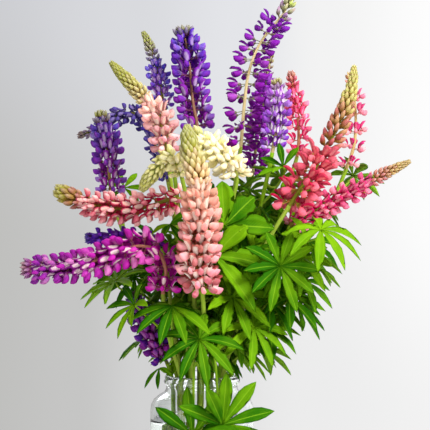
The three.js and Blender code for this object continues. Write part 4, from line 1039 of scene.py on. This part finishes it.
def head_tree():
    """The tree that grows a flower head on its rachis: whorls of florets, then rings of buds."""
    tree = bpy.data.node_groups.new("flower_head", "GeometryNodeTree")
    for name, kind in HEAD_INPUTS.items():
        tree.interface.new_socket(name, in_out="INPUT", socket_type="NodeSocket" + kind)
    tree.interface.new_socket("Head", in_out="OUTPUT", socket_type="NodeSocketGeometry")
    graph = Graph(tree)
    start = graph.add("NodeGroupInput")
    given = {name: start.also(name) for name in HEAD_INPUTS}
    rachis = graph.add("GeometryNodeMeshToCurve", {}, {0: given["Rachis"]})
    index = graph.add("GeometryNodeInputIndex")
    open_share = given["Open Length"] / given["Length"]

    def luck(low, high, draw):
        """A number for each floret or bud, other in each draw and on each lupin."""
        return graph.random(low, high, given["Seed"] + draw)

    def thickness(share):
        """The radius of the rachis at a share of its length."""
        return RACHIS_RADIUS[0] * MM + share * (RACHIS_RADIUS[1] - RACHIS_RADIUS[0]) * MM

    per_whorl = given["Florets in Whorl"]
    whorl = (index / per_whorl).math("FLOOR")
    share = whorl / given["Whorls"]
    grown = (1 - given["Pitch Ratio"].math("POWER", share)) / (1 - given["Pitch Ratio"])
    length = (FIRST_WHORL * MM + grown * (given["Open Length"] - FIRST_WHORL * MM)
              + luck(-WHORL_LUCK * MM, WHORL_LUCK * MM, 0))
    turn = index - whorl * per_whorl + whorl * 0.5 + luck(-TURN_LUCK, TURN_LUCK, 1)
    spot, tangent, out = turned_round(graph, rachis, length, turn / per_whorl * TURN)
    tilt = (given["Lower Tilt"] + share ** 1.6 * (given["Upper Tilt"] - given["Lower Tilt"])
            + luck(-TILT_LUCK, TILT_LUCK, 2))
    reach = given["Reach"] * (HEAD_SHAPE[0] + share * HEAD_SHAPE[1] + share * share * HEAD_SHAPE[2])
    radius = thickness(share * open_share)
    size = (reach - radius) / (tilt * 0.8).math("COSINE") / (FLORET_LENGTH * MM) * luck(*FLORET_SIZES, 3)
    front = graph.add("ShaderNodeCombineXYZ", {}, {"Y": -1.0})
    facing = out.vector_math("DOT_PRODUCT", front, output="Value")
    dropped = given["Bare Share"] * (1 - share * share * 0.8)
    bare = (facing > 0.5) * (luck(0, 1, 4) < dropped)
    upright = graph.add("ShaderNodeSeparateXYZ", {}, {0: tangent}, "Z").clamped() ** 2
    rise = graph.add("ShaderNodeSeparateXYZ", {}, {0: out}, "Z") * tilt.math("COSINE")
    whole = graph.add("ShaderNodeCombineXYZ", {}, {
        "X": size, "Y": size * given["Plumpness"], "Z": size * given["Depth"]})
    florets = placed(graph, given["Floret"], spot + out * (radius * 0.7), tangent, out, tilt,
                     given["Droop"] + rise * upright * LEVELLING, whole, 1 - bare,
                     {"age": share, "tone": luck(0, 1, 5)},
                     given["Whorls"] * per_whorl)

    per_ring = given["Buds in Ring"]
    level = (index / per_ring).math("FLOOR")
    rise = (level + 0.3) / given["Bud Rings"]
    budded = (1 - (1 - rise) ** BUD_CROWDING) * 0.985
    length = given["Open Length"] + (given["Length"] - given["Open Length"]) * budded
    turn = index - level * per_ring + level * 0.5 + luck(-BUD_TURN_LUCK, BUD_TURN_LUCK, 6)
    spot, tangent, out = turned_round(graph, rachis, length, turn / per_ring * TURN)
    taper = budded.math("POWER", given["Bluntness"])
    reach = given["Reach"] * given["Bud Base"] * (1 - taper) + TIP_REACH * MM * taper
    radius = thickness(open_share + (1 - open_share) * budded)
    tilt = BUD_TILT[0] + budded.math("POWER", 0.8) * (BUD_TILT[1] - BUD_TILT[0])
    long = (reach - radius) / tilt.math("COSINE") * luck(*BUD_SIZES, 7)
    buds = placed(graph, given["Bud"], spot + out * (radius * 0.7), tangent, out, tilt,
                  given["Droop"] * 0.3, long / (BUD_LENGTH * MM), True,
                  {"age": 1.001 + rise, "tone": luck(0, 1, 8)},
                  given["Bud Rings"] * per_ring)

    along = graph.add("GeometryNodeSplineParameter")
    section = graph.add("GeometryNodeCurvePrimitiveCircle", {}, {"Resolution": RACHIS_SIDES, "Radius": 1.0})
    rod = graph.add("GeometryNodeCurveToMesh", {}, {
        "Curve": rachis, "Profile Curve": section, "Scale": thickness(along), "Fill Caps": True})
    rod = graph.add("GeometryNodeSetShadeSmooth", {}, {"Geometry": rod})
    rod = graph.stored(rod, {"part": -1.0, "tone": 0.5, "age": along})
    joined = graph.add("GeometryNodeJoinGeometry", {}, {0: [rod, florets, buds]})
    real = graph.add("GeometryNodeRealizeInstances", {}, {"Geometry": joined})
    done = graph.add("GeometryNodeSetMaterial", {}, {"Geometry": real, "Material": given["Petals"]})
    graph.add("NodeGroupOutput", {}, {"Head": done})
    return tree


def set_inputs(modifier, values):
    """Give a tree's named inputs their values, by the sockets' identifiers."""
    for item in modifier.node_group.interface.items_tree:
        if item.item_type == "SOCKET" and item.in_out == "INPUT" and item.name in values:
            modifier[item.identifier] = values[item.name]


def made_real(piece):
    """The plain mesh that a piece's modifiers give, in place of them."""
    graph = bpy.context.evaluated_depsgraph_get()
    mesh = bpy.data.meshes.new_from_object(piece.evaluated_get(graph), depsgraph=graph)
    piece.modifiers.clear()
    piece.data = mesh
    return piece


def flower_head(lupin, number, tree, floret_pattern, bud_pattern, petals, sizes):
    """One flower head, grown on the upper part of the lupin's line."""
    path = Path(lupin["stem"] + lupin["head"])
    start, end = path.lengths[len(lupin["stem"]) * PATH_SAMPLES], path.total - TIP_CUT
    spots = [path.at(length)[0] for length in path.stops(start, end, 3)]
    line = bpy.data.meshes.new(lupin["name"] + "_flowers")
    line.from_pydata([p * MM for p in spots], [(i, i + 1) for i in range(len(spots) - 1)], [])
    head = in_scene(line.name, line)
    opened = (path.total - start) * lupin["open"]
    low, high = lupin["pitch"]
    in_ring, ring_space, bud_base = lupin.get("buds", (lupin["per_whorl"], BUD_RING_SPACE, BUD_BASE))
    grow = head.modifiers.new("grow", "NODES")
    grow.node_group = tree
    set_inputs(grow, {
        "Floret": floret_pattern, "Bud": bud_pattern, "Petals": petals,
        "Open Length": opened * MM, "Length": (end - start) * MM,
        "Whorls": round((opened - FIRST_WHORL) / ((low + high) / 2)), "Florets in Whorl": lupin["per_whorl"],
        "Pitch Ratio": high / low, "Bud Rings": max(3, round((end - start - opened) / ring_space)),
        "Buds in Ring": in_ring, "Bud Base": bud_base, "Reach": lupin["reach"] * MM,
        "Plumpness": lupin["plump"], "Depth": lupin.get("deep", lupin["plump"]), "Bluntness": lupin["blunt"],
        "Lower Tilt": sizes.floret_tilt + math.radians(lupin["lean"][0]),
        "Upper Tilt": sizes.upper_tilt + math.radians(lupin["lean"][1]),
        "Droop": sizes.droop, "Bare Share": lupin["bare"], "Seed": number * 20,
    })
    return made_real(head)


# How strongly glass and water bend light
GLASS_BEND = 1.47
WATER_BEND = 1.33


class BOUQUET_OT_jar(bpy.types.Operator):
    """Build the glass jar"""

    bl_idname = "bouquet.jar"
    bl_label = "Glass Jar"

    def execute(self, context):
        jar = turned("clear_jar", JAR_WALL, context.scene.bouquet_sizes.jar_facets)
        glass = clear_material("clear_glass", context.scene.bouquet_colours.glass, GLASS_BEND)
        dress(jar, glass, "clear_glass", "glass_jar")
        return {"FINISHED"}


class BOUQUET_OT_water(bpy.types.Operator):
    """Fill the jar with water"""

    bl_idname = "bouquet.water"
    bl_label = "Water"

    def execute(self, context):
        water = turned("jar_water", WATER_SIDE, context.scene.bouquet_sizes.jar_facets)
        clear = clear_material("water", context.scene.bouquet_colours.water, WATER_BEND)
        dress(water, clear, "water", "water")
        return {"FINISHED"}


class BOUQUET_OT_leafy_stems(bpy.types.Operator):
    """Build the stems and their palmate leaves"""

    bl_idname = "bouquet.leafy_stems"
    bl_label = "Leafy Stems"

    def execute(self, context):
        green = foliage_material(context.scene.bouquet_colours)
        hubs = [Vector(leaf["hub"]) for lupin in LUPINS for leaf in lupin["leaves"]]
        heads = [(spot, lupin["reach"]) for lupin in LUPINS for spot in smooth_line(lupin["head"], 3)]
        for number, lupin in enumerate(LUPINS):
            piece = leafy_stem(lupin, number, hubs, heads, context.scene.bouquet_sizes)
            dress(piece, green, "lupin_green", lupin["name"] + "_leafy_stem")
        return {"FINISHED"}


class BOUQUET_OT_flower_heads(bpy.types.Operator):
    """Grow the flower heads"""

    bl_idname = "bouquet.flower_heads"
    bl_label = "Flower Heads"

    def execute(self, context):
        tree = head_tree()
        builds = [(lupin["shut"], lupin["stalk"]) for lupin in LUPINS]
        florets = {build: floret(*build) for build in dict.fromkeys(builds)}
        buds = bud()
        slots = {sub["node"]: sub["material_slot"] for sub in frame["record"]["subparts"]}
        for number, (lupin, build) in enumerate(zip(LUPINS, builds)):
            petals = petal_material(lupin)
            head = flower_head(lupin, number, tree, florets[build], buds, petals,
                               context.scene.bouquet_sizes)
            node = lupin["name"] + "_head"
            dress(head, petals, slots[node], node)
        for pattern in (*florets.values(), buds):
            bpy.data.objects.remove(pattern)
        return {"FINISHED"}


CAMERA_PLACE = (0.0143, -1.5, 0.362)
CAMERA_LENS = 114
# The floor, in millimetres, lies just below the foot of the jar
FLOOR_RADIUS = 700
FLOOR_HEIGHT = -0.2
FLOOR_SIDES = 96
# Each lamp: its name, place, size and power, aimed at the middle of the bouquet
LAMPS = (
    ("key_light", (0.85, -1.0, 1.35), 0.7, 50),
    ("fill_light", (-1.0, -1.3, 0.3), 1.2, 12),
    ("back_light", (-0.4, 1.3, 1.1), 1.0, 16),
)
LAMP_AIM = (0, 0, 0.35)
# The colours of the studio wall from left to right, above and below its lower edge
WALL_ABOVE = ((-0.17, "cdced2"), (-0.06, "d9dade"), (0.02, "e4e5e9"), (0.08, "f3f3f3"), (0.16, "fdfdfd"))
WALL_BELOW = ((-0.17, "bfbfbd"), (-0.1, "c5c5c4"), (-0.05, "d2d2d2"), (0.07, "ececec"), (0.16, "f1f1f1"))
WALL_SLOPE = 0.5  # how steeply that edge falls to the right
WALL_FADE = 0.1  # how softly it fades
WALL_DIMMING = 0.25  # how much less of its light matt surfaces get


class BOUQUET_OT_stage(bpy.types.Operator):
    """Set up the floor, the soft light and the camera"""

    bl_idname = "bouquet.stage"
    bl_label = "Stage"

    def execute(self, context):
        self.floor(context)
        self.world(context)
        for lamp in LAMPS:
            self.lamp(*lamp)
        camera = in_scene("camera", bpy.data.cameras.new("camera"))
        camera.data.lens = CAMERA_LENS
        camera.location = CAMERA_PLACE
        camera.rotation_euler = (math.pi / 2, 0, 0)
        context.scene.camera = camera
        context.scene.view_settings.view_transform = "Standard"
        return {"FINISHED"}

    def floor(self, context):
        """A plain round floor."""
        shape = Shape()
        rim = shape.row(circle(FLOOR_RADIUS, FLOOR_HEIGHT, FLOOR_SIDES))
        shape.fan(rim, *shape.row([(0, 0, FLOOR_HEIGHT)]))
        floor = shape.build("floor")
        floor.data.materials.append(even_material("pale_floor", context.scene.bouquet_colours.floor, 0.7))

    def world(self, context):
        """A soft studio wall all round: grey on the left, almost white on the right, darker below."""
        context.scene.world = bpy.data.worlds.new("studio")
        context.scene.world.use_nodes = True
        graph = Graph(context.scene.world.node_tree)
        way = graph.add("ShaderNodeTexCoord", output="Generated")
        sideways = graph.add("ShaderNodeSeparateXYZ", {}, {0: way}, "X")
        upwards = sideways.also("Z")
        colours = []
        for (start, first), *rest in (WALL_BELOW, WALL_ABOVE):
            colour = linear(first)
            for stop, code in rest:
                colour = graph.mix(colour, linear(code), sideways.smooth(start, stop))
                start = stop
            colours.append(colour)
        colour = graph.mix(*colours, (upwards + sideways * WALL_SLOPE).smooth(-WALL_FADE, WALL_FADE))
        matt_ray = graph.add("ShaderNodeLightPath", output="Is Diffuse Ray")
        strength = 1 - matt_ray * WALL_DIMMING
        wall = graph.add("ShaderNodeBackground", {}, {"Color": colour, "Strength": strength})
        graph.add("ShaderNodeOutputWorld", {}, {"Surface": wall})

    def lamp(self, name, place, size, power):
        """A soft square lamp, turned towards the bouquet."""
        light = bpy.data.lights.new(name, "AREA")
        light.size, light.energy = size, power
        lamp = in_scene(name, light)
        lamp.location = place
        lamp.rotation_euler = (Vector(LAMP_AIM) - Vector(place)).to_track_quat("-Z", "Y").to_euler()


OPERATORS = (BOUQUET_OT_jar, BOUQUET_OT_water, BOUQUET_OT_leafy_stems, BOUQUET_OT_flower_heads,
             BOUQUET_OT_stage)


class BOUQUET_PT_panel(bpy.types.Panel):
    bl_label = "Lupin Bouquet"
    bl_space_type = "VIEW_3D"
    bl_region_type = "UI"
    bl_category = "Lupins"

    def draw(self, context):
        for group in (context.scene.bouquet_sizes, context.scene.bouquet_colours):
            for name in group.__annotations__:
                self.layout.prop(group, name)
        for operator in OPERATORS:
            self.layout.operator(operator.bl_idname)


CLASSES = (BouquetSizes, BouquetColours, *OPERATORS, BOUQUET_PT_panel)


def register():
    for each in CLASSES:
        bpy.utils.register_class(each)
    bpy.types.Scene.bouquet_sizes = PointerProperty(type=BouquetSizes)
    bpy.types.Scene.bouquet_colours = PointerProperty(type=BouquetColours)


def unregister():
    del bpy.types.Scene.bouquet_sizes
    del bpy.types.Scene.bouquet_colours
    for each in reversed(CLASSES):
        bpy.utils.unregister_class(each)


def main():
    register()
    bpy.ops.bouquet.jar()
    bpy.ops.bouquet.water()
    bpy.ops.bouquet.leafy_stems()
    bpy.ops.bouquet.flower_heads()
    bpy.ops.bouquet.stage()


if __name__ == "__main__":
    main()
